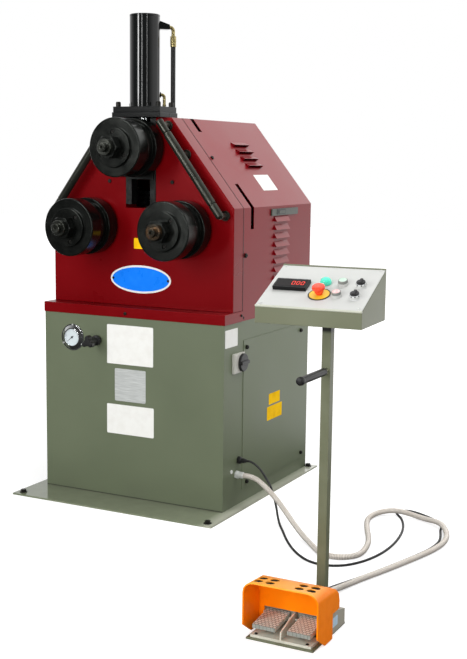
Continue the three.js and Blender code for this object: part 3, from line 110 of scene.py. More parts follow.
class Finish:
    """A material whose shader takes plain values, and patterns where they vary over the surface."""

    def __init__(self, name, colour="#ffffff", roughness=0.5, metallic=0.0, **plain):
        self.material = bpy.data.materials.new(name)
        self.material.use_nodes = True
        self.tree = self.material.node_tree
        self.shader = self.tree.nodes["Principled BSDF"]
        self.set("Base Color", tone(colour))
        self.set("Roughness", roughness)
        self.set("Metallic", metallic)
        for socket, value in plain.items():
            self.set(socket.replace("_", " ").title().replace("Ior", "IOR"), value)

    def set(self, socket, value):
        if isinstance(value, Signal):
            self.tree.links.new(value.socket, self.shader.inputs[socket])
        else:
            self.shader.inputs[socket].default_value = value
        return self

    def node(self, kind, inputs=None, output=0, **settings):
        made = self.tree.nodes.new(kind)
        for key, value in settings.items():
            setattr(made, key, value)
        for key, value in (inputs or {}).items():
            if isinstance(value, Signal):
                self.tree.links.new(value.socket, made.inputs[key])
            else:
                made.inputs[key].default_value = value
        return Signal(self, made.outputs[output])

    def place(self, scale=(1, 1, 1)):
        coordinates = self.node("ShaderNodeTexCoord", output="Object")
        return self.node("ShaderNodeMapping", {"Vector": coordinates, "Scale": scale})

    def noise(self, size, detail=3.0, stretch=(1, 1, 1), at=None):
        """Cloudy noise with features of about this size in metres."""
        scale = tuple(s / size for s in stretch)
        where = self.place(scale) if at is None else at
        return self.node("ShaderNodeTexNoise", {"Vector": where, "Scale": 1.0, "Detail": detail})

    def blend(self, first, second, amount):
        first, second = (tone(c) if isinstance(c, str) else c for c in (first, second))
        made = self.tree.nodes.new("ShaderNodeMix")
        made.data_type = "RGBA"
        for index, value in ((0, amount), (6, first), (7, second)):
            if isinstance(value, Signal):
                self.tree.links.new(value.socket, made.inputs[index])
            else:
                made.inputs[index].default_value = value
        return Signal(self, made.outputs[2])

    def ray(self, kind):
        """1 for rays of this kind, such as Camera or Glossy, and 0 for others."""
        return self.node("ShaderNodeLightPath", output=f"Is {kind} Ray")

    def along(self, axis):
        """The place along one of the object's axes, in metres."""
        return self.node("ShaderNodeSeparateXYZ", {"Vector": self.place()}, output=axis)

    def clouds(self, first, second, size, low, high, detail=3.0, stretch=(1, 1, 1)):
        """Two colours in cloudy patches of about this size in metres."""
        return self.blend(first, second, self.noise(size, detail, stretch).range(low, high))

    def tinted(self, *patches, **more):
        """Clouds of two colours as the whole colour."""
        return self.set("Base Color", self.clouds(*patches, **more))

    def turning(self, patches, far, where):
        """Clouds that turn into another colour where the signal rises to 1."""
        return self.set("Base Color", self.blend(self.clouds(*patches), far, where))

    def rubbed(self, size, swing, least, detail=3.0, stretch=(1, 1, 1)):
        """Roughness that swings upward from its least value over cloudy patches."""
        return self.set("Roughness", self.noise(size, detail, stretch) * swing + least)

    def bump(self, height, depth):
        """Bump of this depth in metres."""
        return self.set("Normal", self.node("ShaderNodeBump", {"Height": height, "Distance": depth}))


FLOOR_SIZE = 16
FLOOR_NEAR, FLOOR_FAR = 1.6, 3.4
FLOOR_GLOW = 0.62
FLOOR_DARK_TO, FLOOR_WHITE_FROM, FLOOR_MIRRORED = 0.55, 1.0, 1.3
SKY_LEVEL = 0.4
SKY_MIRRORED, SKY_BEHIND_LENS = 1.0, 0.06
SKY_DIM_TO, SKY_WHITE_FROM = -0.55, 0.15

floor_mesh = bmesh.new()
bmesh.ops.create_grid(floor_mesh, x_segments=1, y_segments=1, size=FLOOR_SIZE)
floor_data = bpy.data.meshes.new("floor")
floor_mesh.to_mesh(floor_data)
floor_mesh.free()
floor_finish = Finish("studio_floor", roughness=0.9)
floor_reach = floor_finish.node(
    "ShaderNodeVectorMath", {0: floor_finish.place()}, output="Value", operation="LENGTH")
floor_seen = floor_finish.ray("Camera") + floor_finish.ray("Transmission")
floor_mirrored = floor_finish.ray("Glossy")
floor_finish.set("Base Color", floor_finish.blend("#c4c4c4", "#202020", floor_mirrored))
floor_finish.set("Emission Color", (1, 1, 1, 1))
floor_finish.set("Emission Strength", floor_seen * (
    floor_reach.range(FLOOR_NEAR, FLOOR_FAR) * (1 - FLOOR_GLOW) + FLOOR_GLOW) + floor_mirrored * (
    floor_finish.along("Y").range(FLOOR_DARK_TO, FLOOR_WHITE_FROM) * FLOOR_MIRRORED))
floor_data.materials.append(floor_finish.material)
floor = bpy.data.objects.new("floor", floor_data)
bpy.context.scene.collection.objects.link(floor)

world = bpy.data.worlds.new("studio")
world.use_nodes = True
bpy.context.scene.world = world
sky = Finish.__new__(Finish)
sky.tree = world.node_tree
sky.shader = world.node_tree.nodes["Background"]
sky_heading = sky.node("ShaderNodeSeparateXYZ", {
    "Vector": sky.node("ShaderNodeTexCoord", output="Generated")}, output="Y")
sky_mirrored = sky_heading.range(SKY_DIM_TO, SKY_WHITE_FROM) * (
    SKY_MIRRORED - SKY_BEHIND_LENS) + SKY_BEHIND_LENS
sky_glossy = sky.ray("Glossy")
sky_seen = (sky.ray("Camera") + sky.ray("Transmission")).range(0, 1)
sky.set("Color", (1, 1, 1, 1))
sky.set("Strength", sky_seen + (1 - sky_seen) * (
    sky_glossy * sky_mirrored + (1 - sky_glossy) * SKY_LEVEL))

for lamp_name, lamp_place, lamp_aim, lamp_size, lamp_power, lamp_mirrored in (
        ("above", (1.2, 0.2, 4.4), (0.3, -0.1, 0.8), (3.0, 3.0), 90, False),
        ("right", (3.0, 0.4, 3.2), (0.3, 0.0, 1.1), (1.8, 1.8), 38, False),
        ("front", (-1.7, -4.8, 2.6), (0.2, -0.4, 0.9), (1.0, 2.0), 54, True),
        ("fill", (1.5, -5.8, 1.0), (0.6, -0.8, 0.4), (2.6, 1.4), 80, False),
        ("back", (0.6, 5.4, 3.2), (0.2, 0.0, 1.0), (6.0, 3.5), 56, True),
        ("strip_left", (-1.35, -4.4, 2.2), (0.0, -0.3, 1.4), (0.30, 3.2), 48, True),
        ("strip_middle", (0.75, -5.1, 2.3), (0.0, -0.3, 1.4), (0.20, 3.2), 36, True),
        ("strip_right", (4.3, -4.3, 2.0), (0.0, -0.3, 1.3), (0.14, 3.2), 22, True)):
    lamp_data = bpy.data.lights.new(f"lamp_{lamp_name}", "AREA")
    lamp_data.shape = "RECTANGLE"
    lamp_data.size, lamp_data.size_y = lamp_size
    lamp_data.energy = lamp_power
    lamp = bpy.data.objects.new(f"lamp_{lamp_name}", lamp_data)
    bpy.context.scene.collection.objects.link(lamp)
    lamp.location = lamp_place
    lamp.rotation_euler = (Vector(lamp_aim) - Vector(lamp_place)).to_track_quat("-Z", "Y").to_euler()
    lamp.visible_glossy = lamp_mirrored

# Conduit and control cable
# A flexible steel conduit runs from the cabinet to the pole, and a thin rubber cable
# from the cabinet to the foot pedal. Both lie in loose bends on the floor.


def smooth_route(points, step):
    """Points every step along one smooth line through points in millimetres."""
    knots = [Vector(p) / 1000 for p in points]
    knots = [2 * knots[0] - knots[1], *knots, 2 * knots[-1] - knots[-2]]
    line = []
    for p0, p1, p2, p3 in zip(knots, knots[1:], knots[2:], knots[3:]):
        d0, d1, d2 = ((b - a).length ** 0.5 for a, b in ((p0, p1), (p1, p2), (p2, p3)))
        leave = ((p1 - p0) / d0 - (p2 - p0) / (d0 + d1) + (p2 - p1) / d1) * d1
        arrive = ((p2 - p1) / d1 - (p3 - p1) / (d1 + d2) + (p3 - p2) / d2) * d1
        count = max(1, round((p2 - p1).length / step))
        for i in range(count):
            t = i / count
            line.append(
                p1 * (2 * t**3 - 3 * t**2 + 1) + leave * (t**3 - 2 * t**2 + t)
                + p2 * (3 * t**2 - 2 * t**3) + arrive * (t**3 - t**2))
    return line + [knots[-2]]


def tube_along(bm, line, radius, sides):
    """Pushes a circle along the line and keeps the length run on every vertex."""
    run = bm.verts.layers.float.new("run")
    turn = (line[1] - line[0]).to_track_quat("Z", "Y")
    here = Matrix.Translation(line[0]) @ turn.to_matrix().to_4x4()
    ring = bmesh.ops.create_circle(bm, segments=sides, radius=radius, matrix=here)["verts"]
    edges = list({e for v in ring for e in v.link_edges})
    travelled = 0.0
    heading = (line[1] - line[0]).normalized()
    for before, point, after in zip(line, line[1:], line[2:] + [line[-1] + (line[-1] - line[-2])]):
        new_heading = (after - before).normalized()
        turn = heading.rotation_difference(new_heading) @ turn
        heading = new_heading
        there = Matrix.Translation(point) @ turn.to_matrix().to_4x4()
        made = bmesh.ops.extrude_edge_only(bm, edges=edges)["geom"]
        ring = [g for g in made if isinstance(g, bmesh.types.BMVert)]
        edges = [g for g in made if isinstance(g, bmesh.types.BMEdge)]
        bmesh.ops.transform(bm, matrix=there @ here.inverted(), verts=ring)
        travelled += (point - before).length
        for v in ring:
            v[run] = travelled
        here = there
    bmesh.ops.holes_fill(bm, edges=bm.edges, sides=sides)
    bmesh.ops.recalc_face_normals(bm, faces=bm.faces)
    return travelled


SHARP_ANGLE = math.radians(35)


def piece(name, bm, finish, replaced=(), body="stand"):
    """Puts a finished mesh into the scene, on the body that it moves with."""
    data = bpy.data.meshes.new(name)
    bm.to_mesh(data)
    bm.free()
    data.shade_smooth()
    data.set_sharp_from_angle(angle=SHARP_ANGLE)
    data.materials.append(finish.material)
    made = bpy.data.objects.new(name, data)
    bpy.context.scene.collection.objects.link(made)
    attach(made, body)
    if replaced:
        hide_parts(*replaced)
    flat = made.modifiers.new("flat_faces", "WEIGHTED_NORMAL")
    flat.keep_sharp = True
    return made


CONDUIT_RADIUS, CONDUIT_PITCH, CONDUIT_STEP, CONDUIT_SIDES = 0.009, 0.0045, 0.008, 16
CONDUIT_ROUTE = [
    (405.3, -261, 120), (428, -261, 120), (458, -266, 115), (490, -279, 103.5), (528, -300, 88),
    (575, -334, 70), (628, -381, 50), (682, -432, 31), (735, -483, 17), (780, -527, 11), (816, -566, 9.4),
    (844, -592, 9.4), (875, -604.5, 9.4), (908, -601, 9.4), (936, -583, 9.4), (953, -555, 9.4),
    (957, -520, 9.4), (951, -470, 9.4), (938, -416, 9.4), (916, -358, 9.4), (889, -296, 9.4),
    (865, -234, 9.4), (853, -190, 9.4), (851, -156, 9.6), (857, -127, 11.5), (873, -102, 14.5),
    (898, -86, 17.8), (927, -80, 18.8), (962, -82, 16.4), (1005, -91, 12.2), (1040, -105, 12.4),
    (1072, -125, 16.6), (1100, -152, 18.8), (1123, -184, 16.4), (1142, -224, 11.5), (1153, -270, 9.4),
    (1156, -320, 9.4), (1149, -385, 9.4), (1131, -460, 9.4), (1103, -555, 9.4), (1071, -655, 9.4),
    (1041, -742, 9.4), (1021, -808, 9.6), (1012, -850, 12), (1009, -890, 18), (1009, -912, 20),
    (1009, -931.7, 20)]
conduit_line = smooth_route(CONDUIT_ROUTE, CONDUIT_STEP)
conduit_mesh = bmesh.new()
conduit_length = tube_along(conduit_mesh, conduit_line, CONDUIT_RADIUS, CONDUIT_SIDES)
conduit_finish = Finish("conduit_steel", metallic=0.35)
conduit_run = conduit_finish.node("ShaderNodeAttribute", output="Fac", attribute_name="run")
conduit_turns = (conduit_run * (2 * math.pi / CONDUIT_PITCH)).wave()
conduit_dirt = conduit_finish.noise(0.05)
conduit_finish.set("Base Color", conduit_finish.blend(
    conduit_finish.blend("#b9b0a5", "#f2ece4", conduit_turns.range(-0.7, 0.6)), "#cfc4b6",
    conduit_dirt.range(0.45, 0.75) * 0.6))
conduit_finish.set("Roughness", conduit_dirt * 0.25 + 0.28)
conduit_finish.bump(conduit_turns, 0.0006)
conduit = piece("conduit", conduit_mesh, conduit_finish, ["steel_conduit"])

CABLE_RADIUS, CABLE_STEP, CABLE_SIDES = 0.004, 0.006, 12
CABLE_ROUTE = [
    (409.3, -246, 170), (424, -246, 170), (446, -247, 161), (469, -251, 145), (492, -260, 124),
    (516, -270, 98), (539, -289, 67), (558, -310, 40), (574, -333, 20), (590, -357, 8.5), (610, -389, 4.6),
    (645, -443, 4.4), (690, -513, 4.4), (741, -582, 4.4), (790, -634, 4.4), (832, -665, 4.4),
    (872, -677, 4.4), (912, -672, 4.4), (948, -648, 4.4), (978, -603, 4.4), (1000, -540, 4.4),
    (1013, -455, 4.4), (1012, -355, 4.4), (996, -248, 4.4), (972, -168, 4.4), (946, -113, 4.4),
    (925, -83, 4.4), (912, -61, 4.4), (911, -41, 4.4), (920, -25, 4.4), (937, -16, 4.4), (956, -17, 4.4),
    (978, -25, 4.4), (1006, -40, 4.4), (1046, -66, 4.4), (1080, -100, 4.4), (1098, -138, 4.4),
    (1107, -178, 4.4), (1122, -226, 4.4), (1134, -275, 4.4), (1137, -325, 4.4), (1130, -385, 4.4),
    (1113, -455, 4.4), (1085, -550, 4.4), (1053, -650, 4.4), (1021, -742, 4.4), (994, -812, 4.5),
    (978, -862, 5.5), (970, -905, 8), (967, -940, 10.2), (967, -985, 13), (967, -1020, 22),
    (967, -1038, 25), (967, -1053.7, 25)]
cable_line = smooth_route(CABLE_ROUTE, CABLE_STEP)
cable_mesh = bmesh.new()
cable_length = tube_along(cable_mesh, cable_line, CABLE_RADIUS, CABLE_SIDES)
cable_finish = Finish("cable_rubber", roughness=0.55)
cable_finish.tinted("#141414", "#343434", 0.012, 0.4, 0.8).bump(cable_finish.noise(0.012), 0.0002)
cable = piece("cable", cable_mesh, cable_finish, ["control_cable"])

# Base plate
# A flat steel plate under the cabinet, painted grey-green, wider than the cabinet in front.
# A bolt with a washer holds each corner to the floor.


def dress(finish, *nodes):
    """Gives a finish to CAD nodes that stay as they are."""
    for node in nodes:
        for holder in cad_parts[node].material_slots:
            holder.material = finish.material


CLOUD_SIZE, PEEL_SIZE, GRIME_TOP, GRIME_SHARE = 0.22, 0.0025, 0.12, 0.35


def enamel(name, roughness=0.42, peel=0.00004, gleam=(1, 1, 1, 1)):
    """Sprayed enamel with orange peel, still without its colour."""
    made = Finish(name, specular_tint=gleam)
    return made.rubbed(CLOUD_SIZE, 0.16, roughness - 0.08, 4).bump(made.noise(PEEL_SIZE, 2), peel)


def paint(name, colour, lighter, roughness=0.42, grime="#2c2b26", peel=0.00004, gleam=(1, 1, 1, 1)):
    """Enamel with slight shade changes and some grime near the floor."""
    made = enamel(name, roughness, peel, gleam)
    patches = made.noise(CLOUD_SIZE, 4)
    low = (1 - made.along("Z").range(0.0, GRIME_TOP)) * patches.range(0.35, 0.75) * GRIME_SHARE
    body = made.blend(colour, lighter, patches.range(0.3, 0.75))
    return made.set("Base Color", made.blend(body, grime, low))


def turned(bm, profile, centre, axis=Y_AXIS, steps=64):
    """Spins a profile of (radius, distance along the axis) about the axis through centre."""
    side = axis.orthogonal().normalized()
    points = [Vector(centre) + side * r + axis * h for r, h in profile]
    verts = [bm.verts.new(p) for p in points]
    edges = [bm.edges.new(pair) for pair in zip(verts, verts[1:])]
    bmesh.ops.spin(bm, geom=verts + edges, cent=centre, axis=axis, dvec=(0, 0, 0),
                   angle=2 * math.pi, steps=steps, use_merge=True, use_duplicate=False)
    bmesh.ops.remove_doubles(bm, verts=bm.verts, dist=0.000002)
    bmesh.ops.recalc_face_normals(bm, faces=bm.faces)
    return bm


def eased(profile, radius):
    """The profile with each corner off the axis rounded over in three short steps."""
    points = [Vector(p) for p in profile]
    soft = [points[0]]
    for before, here, after in zip(points, points[1:], points[2:]):
        back, on = before - here, after - here
        reach = min(radius, back.length * 0.45, on.length * 0.45)
        if abs(back.normalized().cross(on.normalized())) < 0.05 or here.x < radius:
            soft.append(here)
            continue
        start, end = here + back.normalized() * reach, here + on.normalized() * reach
        for t in (0, 1 / 3, 2 / 3, 1):
            soft.append(start * (1 - t) ** 2 + here * 2 * t * (1 - t) + end * t**2)
    return [tuple(p) for p in soft + [points[-1]]]


def edges_of(verts):
    """Every edge that meets one of these vertices."""
    return {e for v in verts for e in v.link_edges}


def round_edges(bm, edges, offset, segments, clamp=False):
    """Rounds these edges over."""
    bmesh.ops.bevel(bm, geom=list(edges), offset=offset, segments=segments, profile=0.5,
                    affect="EDGES", clamp_overlap=clamp, material=-1)


def box(bm, centre, sizes, axes=(X_AXIS, Y_AXIS, Z_AXIS)):
    """Adds a block with these sizes along the axes and returns its vertices."""
    sides = [axis * size for axis, size in zip(axes, sizes)]
    here = Matrix.Translation(centre) @ Matrix(sides).transposed().to_4x4()
    return bmesh.ops.create_cube(bm, size=1, matrix=here)["verts"]


def hexagon(bm, centre, axis, across_flats, height, ease=0.0006):
    """A hexagon head that stands on centre."""
    stand = axis.to_track_quat("Z", "Y").to_matrix().to_4x4()
    radius = across_flats / math.sqrt(3)
    made = bmesh.ops.create_cone(
        bm, cap_ends=True, segments=6, radius1=radius, radius2=radius, depth=height,
        matrix=Matrix.Translation(Vector(centre) + axis * height / 2) @ stand)["verts"]
    round_edges(bm, edges_of(made), ease, 2)


BASE_SIDE, BASE_FRONT, BASE_BACK, BASE_TOP = 0.387, -0.495, 0.364, 0.006
FOOT_SHADOW_PLACE, FOOT_SHADOW_SIZES = (0, -0.3632, 0.0078), (0.750, 0.0004, 0.0028)
WASHER_RADIUS, WASHER_HEIGHT = 0.014, 0.0025

base_finish = enamel("base_paint", 0.14, 0.00002)
# The plate's right edge is painted lighter grey: a painted highlight where more light falls on that side.
base_finish.turning(
    ("#757c66", "#7c836c", 0.05, 0.4, 0.8), "#a9ab9b", base_finish.along("X").range(0.360, 0.400))
dress(base_finish, "base_plate")
# A thin dark strip along the foot of the cabinet's front is painted shadow.
foot_seam = bmesh.new()
box(foot_seam, FOOT_SHADOW_PLACE, FOOT_SHADOW_SIZES)
piece("foot_seam", foot_seam, paint("seam_shadow", "#33352a", "#3c3e31", 0.6))
bolt_finish = Finish("dark_bolts", "#23221f", metallic=0.6).rubbed(0.004, 0.3, 0.3)
bolts = bmesh.new()
for bolt_x in (-BASE_SIDE, BASE_SIDE):
    for bolt_y in (BASE_FRONT, BASE_BACK):
        turned(bolts, eased([
            (0, 0), (WASHER_RADIUS, 0), (WASHER_RADIUS, WASHER_HEIGHT), (0, WASHER_HEIGHT)], 0.0006),
            (bolt_x, bolt_y, BASE_TOP), Z_AXIS, 32)
        hexagon(bolts, (bolt_x, bolt_y, BASE_TOP + 0.002), Z_AXIS, 0.017, 0.009)
piece("base_bolts", bolts, bolt_finish)

# Cabinet
# A welded sheet-steel box in the same grey-green, with a screwed panel on its right side.
# Blank label plates are stuck to its front and side.
dress(paint("cabinet_paint", "#5d664f", "#626b53", 0.45), "cabinet_shell", "right_side_panel")


def label(bm, centre, across, up, width, height, thickness, corner):
    """A thin plate with rounded corners that lies on centre."""
    out = across.cross(up)
    made = box(bm, Vector(centre) + out * thickness / 2, (width, height, thickness), (across, up, out))
    posts = [e for e in edges_of(made)
             if abs((e.verts[0].co - e.verts[1].co).normalized().dot(out)) > 0.9]
    round_edges(bm, posts, corner, 4)


def screw(bm, place, axis, radius, height):
    """A socket-head or pan-head screw with a small recess."""
    pocket = 0.45 * radius
    profile = [(0, height * 0.45), (pocket, height * 0.45), (pocket, height), (radius * 0.8, height),
               (radius, height * 0.75), (radius, 0), (0, 0)]
    turned(bm, profile, place, axis, 20)


def screws(name, finish, places, axis, radius, height):
    """One piece of equal screws."""
    bm = bmesh.new()
    for place in places:
        screw(bm, place, axis, radius, height)
    piece(name, bm, finish)


def plates(name, finish, slot, *labels):
    """One piece of thin plates, each with the values that label takes after the mesh."""
    bm = bmesh.new()
    for values in labels:
        label(bm, *values)
    piece(name, bm, finish)


CABINET_FRONT, CABINET_SIDE, PANEL_SIDE = -0.363, 0.375, 0.377
LABEL_THICKNESS = 0.0004

label_finish = Finish("label_white", roughness=0.4).tinted("#e4e4e0", "#dddcd7", 0.03, 0.4, 0.8)
label_finish.bump(label_finish.noise(0.004), 0.00003)
plate_finish = Finish("label_metal", metallic=0.2)
plate_finish.tinted("#aeb1af", "#cccfcd", 0.002, 0.3, 0.7, stretch=(0.05, 1, 1))
plate_finish.rubbed(0.002, 0.2, 0.3, stretch=(0.05, 1, 1))


def front_sign(left, right, low, high):
    """What plates needs for a label on the cabinet's front, from the label's edges."""
    return (((left + right) / 2, CABINET_FRONT, (low + high) / 2), X_AXIS, Z_AXIS, right - left,
            high - low, LABEL_THICKNESS, 0.004)


plates("metal_label", plate_finish, "panel_white", front_sign(-0.070, 0.060, 0.362, 0.481))
plates("white_labels", label_finish, "panel_white",
       front_sign(-0.103, 0.091, 0.497, 0.640), front_sign(-0.104, 0.094, 0.239, 0.348),
       ((CABINET_SIDE, -0.3085, 0.6185), Y_AXIS, Z_AXIS, 0.095, 0.063, LABEL_THICKNESS, 0.003))

yellow_finish = Finish("label_yellow", specular_ior_level=0.02)
yellow_finish.tinted("#f7c416", "#e3ad10", 0.04, 0.4, 0.8)
plates("yellow_labels", yellow_finish, "panel_white",
       ((PANEL_SIDE, 0.0495, 0.3455), Y_AXIS, Z_AXIS, 0.097, 0.041, LABEL_THICKNESS, 0.003),
       ((PANEL_SIDE, 0.0525, 0.292), Y_AXIS, Z_AXIS, 0.131, 0.052, LABEL_THICKNESS, 0.003),
       ((-0.006, -0.299, 0.931), X_AXIS, Z_AXIS, 0.044, 0.038, LABEL_THICKNESS, 0.003))

screws("panel_screws", bolt_finish, [
    (PANEL_SIDE, -0.194, 0.572), (PANEL_SIDE, 0.283, 0.573), (PANEL_SIDE, 0.303, 0.076),
    (PANEL_SIDE, -0.183, 0.076)], X_AXIS, 0.0075, 0.008)
zinc_finish = Finish("zinc_plate", metallic=0.45).tinted("#cfd1cf", "#ecedea", 0.01, 0.3, 0.7)
zinc_finish.rubbed(0.006, 0.25, 0.25)
screws("earth_screw", zinc_finish, [(CABINET_SIDE, -0.300, 0.138)], X_AXIS, 0.007, 0.004)

# Isolator
# A thin light grey switch plate on the cabinet's right side, with a black round knob that
# has a raised grip across it. Both are moulded plastic.


SOFT_ANGLE = math.radians(30)


def from_cad(node, ease, segments=2):
    """A copy of a CAD node's mesh with merged faces and slightly rounded edges."""
    bm = bmesh.new()
    bm.from_mesh(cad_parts[node].data)
    bmesh.ops.remove_doubles(bm, verts=bm.verts, dist=0.000005)
    bmesh.ops.dissolve_limit(bm, angle_limit=math.radians(1), verts=bm.verts, edges=bm.edges)
    edges = [e for e in bm.edges if len(e.link_faces) == 2 and e.calc_face_angle(0) > SOFT_ANGLE]
    round_edges(bm, edges, ease, segments, clamp=True)
    return bm


def lathed(profile, ease, centre, axis=Y_AXIS, steps=64):
    """A new mesh: the profile with eased corners, spun about the axis."""
    return turned(bmesh.new(), eased(profile, ease), centre, axis, steps)


def grained(name, roughness, grain=0.0009, gleam=(1, 1, 1, 1)):
    """Moulded plastic with a fine grain, still without its colour."""
    made = Finish(name, specular_tint=gleam)
    return made.rubbed(0.03, 0.2, roughness - 0.1).bump(made.noise(grain), 0.00005)


def moulded(name, colour, worn, roughness=0.5, gleam=(1, 1, 1, 1)):
    """Grained plastic with rubbed places."""
    made = grained(name, roughness, gleam=gleam)
    return made.set("Base Color", made.blend(colour, worn, made.noise(0.03).range(0.5, 0.85) * 0.7))


black_plastic = moulded("black_plastic", "#19191a", "#2b2b2b", 0.42)
ISOLATOR_AXIS = Vector((0.386, -0.2435, 0.525))
piece("isolator_body", from_cad("isolator_box", 0.0015, segments=3),
      moulded("isolator_grey", "#b9b8b0", "#a8a79f", 0.4), ["isolator_box"])
isolator_grip = lathed(
    [(0, 0.0004), (0.0325, 0.0004), (0.0325, 0.008), (0.0305, 0.010), (0, 0.010)], 0.0012,
    ISOLATOR_AXIS, X_AXIS, 48)
grip_bar = box(isolator_grip, ISOLATOR_AXIS + X_AXIS * 0.0125, (0.007, 0.060, 0.012))
round_edges(isolator_grip, edges_of(grip_bar), 0.0018, 3)
piece("isolator_grip", isolator_grip, black_plastic, ["isolator_knob"], "isolator")

# Cable entries
# A black moulded gland holds the thin cable, and a zinc-plated connector takes the conduit.
# Both are screwed into the cabinet's right side.
GLAND_PLACE, CONNECTOR_PLACE = (0.375, -0.246, 0.170), (0.375, -0.261, 0.120)
gland = lathed([
    (0, -0.011), (0.008, -0.011), (0.008, 0), (0.0125, 0), (0.0125, 0.012), (0.0085, 0.014), (0.0088, 0.024),
    (0.006, 0.034), (0, 0.034)], 0.0008, GLAND_PLACE, X_AXIS, 32)
hexagon(gland, GLAND_PLACE, X_AXIS, 0.024, 0.008)
piece("gland", gland, black_plastic, ["cable_gland"])
connector = lathed([
    (0, -0.011), (0.008, -0.011), (0.008, 0), (0.0125, 0), (0.0125, 0.012), (0.0118, 0.0125), (0.0118, 0.029),
    (0.010, 0.030), (0, 0.030)], 0.0008, CONNECTOR_PLACE, X_AXIS, 32)
hexagon(connector, CONNECTOR_PLACE, X_AXIS, 0.0255, 0.010)
piece("connector", connector, zinc_finish, ["conduit_connector"])

# Hydraulic power unit and drive
# Hidden in the cabinet and the housing: the oil tank with its pump motor and valve column,
# and the geared motor with the pinion, the gears and the bearing plate of the lower shafts.
dress(paint("machine_grey", "#565b5c", "#646a6b", 0.5, "#2a2822"), "hydraulic_power_unit", "gearmotor")
gear_iron = Finish("gear_iron", metallic=0.8).tinted("#5c5e60", "#2e2c28", 0.03, 0.4, 0.75)
dress(gear_iron.rubbed(0.03, 0.3, 0.2), "left_gear", "right_gear", "drive_pinion", "rear_bearing_plate")

# Bed and front plate
# The thick bed lies on the cabinet's lip, and the thick front plate stands on it. Both are
# flame-cut, machined steel in glossy dark red enamel.
RED_GLEAM = (0.6, 0.12, 0.13, 1)
red_finish = paint("red_enamel", "#6b0308", "#72050b", 0.3, "#2c0606", 0.00003, RED_GLEAM)
piece("bed", from_cad("bed_plate", 0.002), red_finish, ["bed_plate"])
piece("front_wall", from_cad("front_plate", 0.002), red_finish, ["front_plate"])

PLATE_FACE = -0.299
plate_screws = bmesh.new()
for screw_x in (-0.130, 0.130):
    screw(plate_screws, (screw_x, PLATE_FACE, 1.152), -Y_AXIS, 0.007, 0.004)
screw(plate_screws, (-0.024, -0.366, 0.683), -Y_AXIS, 0.006, 0.003)
piece("plate_screws", plate_screws, bolt_finish)

# Badge
# An oval blue plate with a white rim and a screw at each end, left without lettering.
# It is stamped from thin enamelled metal and screwed to the front plate.
BADGE_CENTRE, BADGE_WIDTH, BADGE_HEIGHT = (0, PLATE_FACE, 0.802), 0.253, 0.101


def oval(centre, width, height, thickness):
    """An upright oval plate that faces the front."""
    bm = bmesh.new()
    here = Matrix.Translation(centre) @ Matrix.Diagonal((width, 1, height, 1))
    bmesh.ops.create_circle(bm, cap_ends=True, segments=64, radius=0.5,
                            matrix=here @ Matrix.Rotation(math.pi / 2, 4, "X"))
    raised = bmesh.ops.extrude_face_region(bm, geom=list(bm.faces))["geom"]
    bmesh.ops.translate(bm, vec=(0, -thickness, 0),
                        verts=[g for g in raised if isinstance(g, bmesh.types.BMVert)])
    bmesh.ops.recalc_face_normals(bm, faces=bm.faces)
    return bm


piece("badge_rim", oval(BADGE_CENTRE, BADGE_WIDTH, BADGE_HEIGHT, 0.0012), label_finish)
badge_blue = moulded("badge_blue", "#0d78f2", "#1b84f7", 0.3, (0.2, 0.6, 1, 1))
piece("badge_field", oval(BADGE_CENTRE, BADGE_WIDTH - 0.014, BADGE_HEIGHT - 0.014, 0.0017), badge_blue)
screws("badge_screws", bolt_finish, [
    (screw_x, PLATE_FACE - 0.0012, 0.802) for screw_x in (-0.115, 0.115)], -Y_AXIS, 0.0045, 0.0025)

# Gibs and slide block
# The slide block carries the top shaft. Its neck runs between two screwed gibs in the
# front plate's slot, and its cap covers them in front.

black_steel = Finish("black_steel", metallic=0.75)
steel_oil = black_steel.noise(0.05, 5)
steel_scratches = black_steel.noise(0.002, 2, stretch=(1, 1, 0.12))
black_steel.set("Base Color", black_steel.blend(
    "#1b1c1b", "#3d3f3e", (steel_oil * 0.6 + steel_scratches * 0.5).range(0.5, 0.8)))
black_steel.set("Roughness", steel_oil * 0.3 + 0.22)
black_steel.bump(steel_scratches, 0.00003)
for side_name in ("left", "right"):
    piece(f"guide_{side_name}", from_cad(f"gib_{side_name}", 0.001), black_steel,
          [f"gib_{side_name}"])
piece("press_block", from_cad("slide_block", 0.0012), black_steel, ["slide_block"],
      "press_slide")
screws("gib_screws", bolt_finish, [
    (screw_x, PLATE_FACE, screw_z) for screw_x in (-0.052, 0.052) for screw_z in (1.095, 1.135)],
    -Y_AXIS, 0.0065, 0.0002)

# Bearings
# Each lower shaft turns in a round housing that is pressed through the front plate.
# The housings are turned from steel and blackened.
BEARING_PROFILE = [
    (0.0304, -0.005), (0.0645, -0.005), (0.065, -0.0045), (0.065, 0.074), (0.090, 0.074), (0.090, 0.090),
    (0.0304, 0.090), (0.0304, -0.005)]
ROLL_SPREAD, LOWER_HEIGHT, TOP_HEIGHT = 0.192, 0.990, 1.270
for side_name, side in (("left", -1), ("right", 1)):
    bearing = lathed(BEARING_PROFILE, 0.001, (side * ROLL_SPREAD, PLATE_FACE, LOWER_HEIGHT))
    piece(f"{side_name}_bearing", bearing, black_steel, [f"{side_name}_bearing_housing"])

# Rolls, shafts and nuts
# Two flanged discs with a plain ring between them, clamped on each shaft by a flange with
# three sunk screws and a hexagon nut. Turned from steel and blackened.


def drilled(bm, cutter):
    """Cuts one closed mesh out of another."""
    objects = []
    for shape in (bm, cutter):
        data = bpy.data.meshes.new("cutting")
        shape.to_mesh(data)
        shape.free()
        objects.append(bpy.data.objects.new("cutting", data))
        bpy.context.scene.collection.objects.link(objects[-1])
    cut = objects[0].modifiers.new("cut", "BOOLEAN")
    cut.object = objects[1]
    cut.operation = "DIFFERENCE"
    cut.solver = "EXACT"
    bpy.context.view_layer.update()
    result = bmesh.new()
    result.from_mesh(objects[0].evaluated_get(bpy.context.evaluated_depsgraph_get()).to_mesh())
    for used in objects:
        bpy.data.objects.remove(used)
    return result


TURNING_MARKS = 900


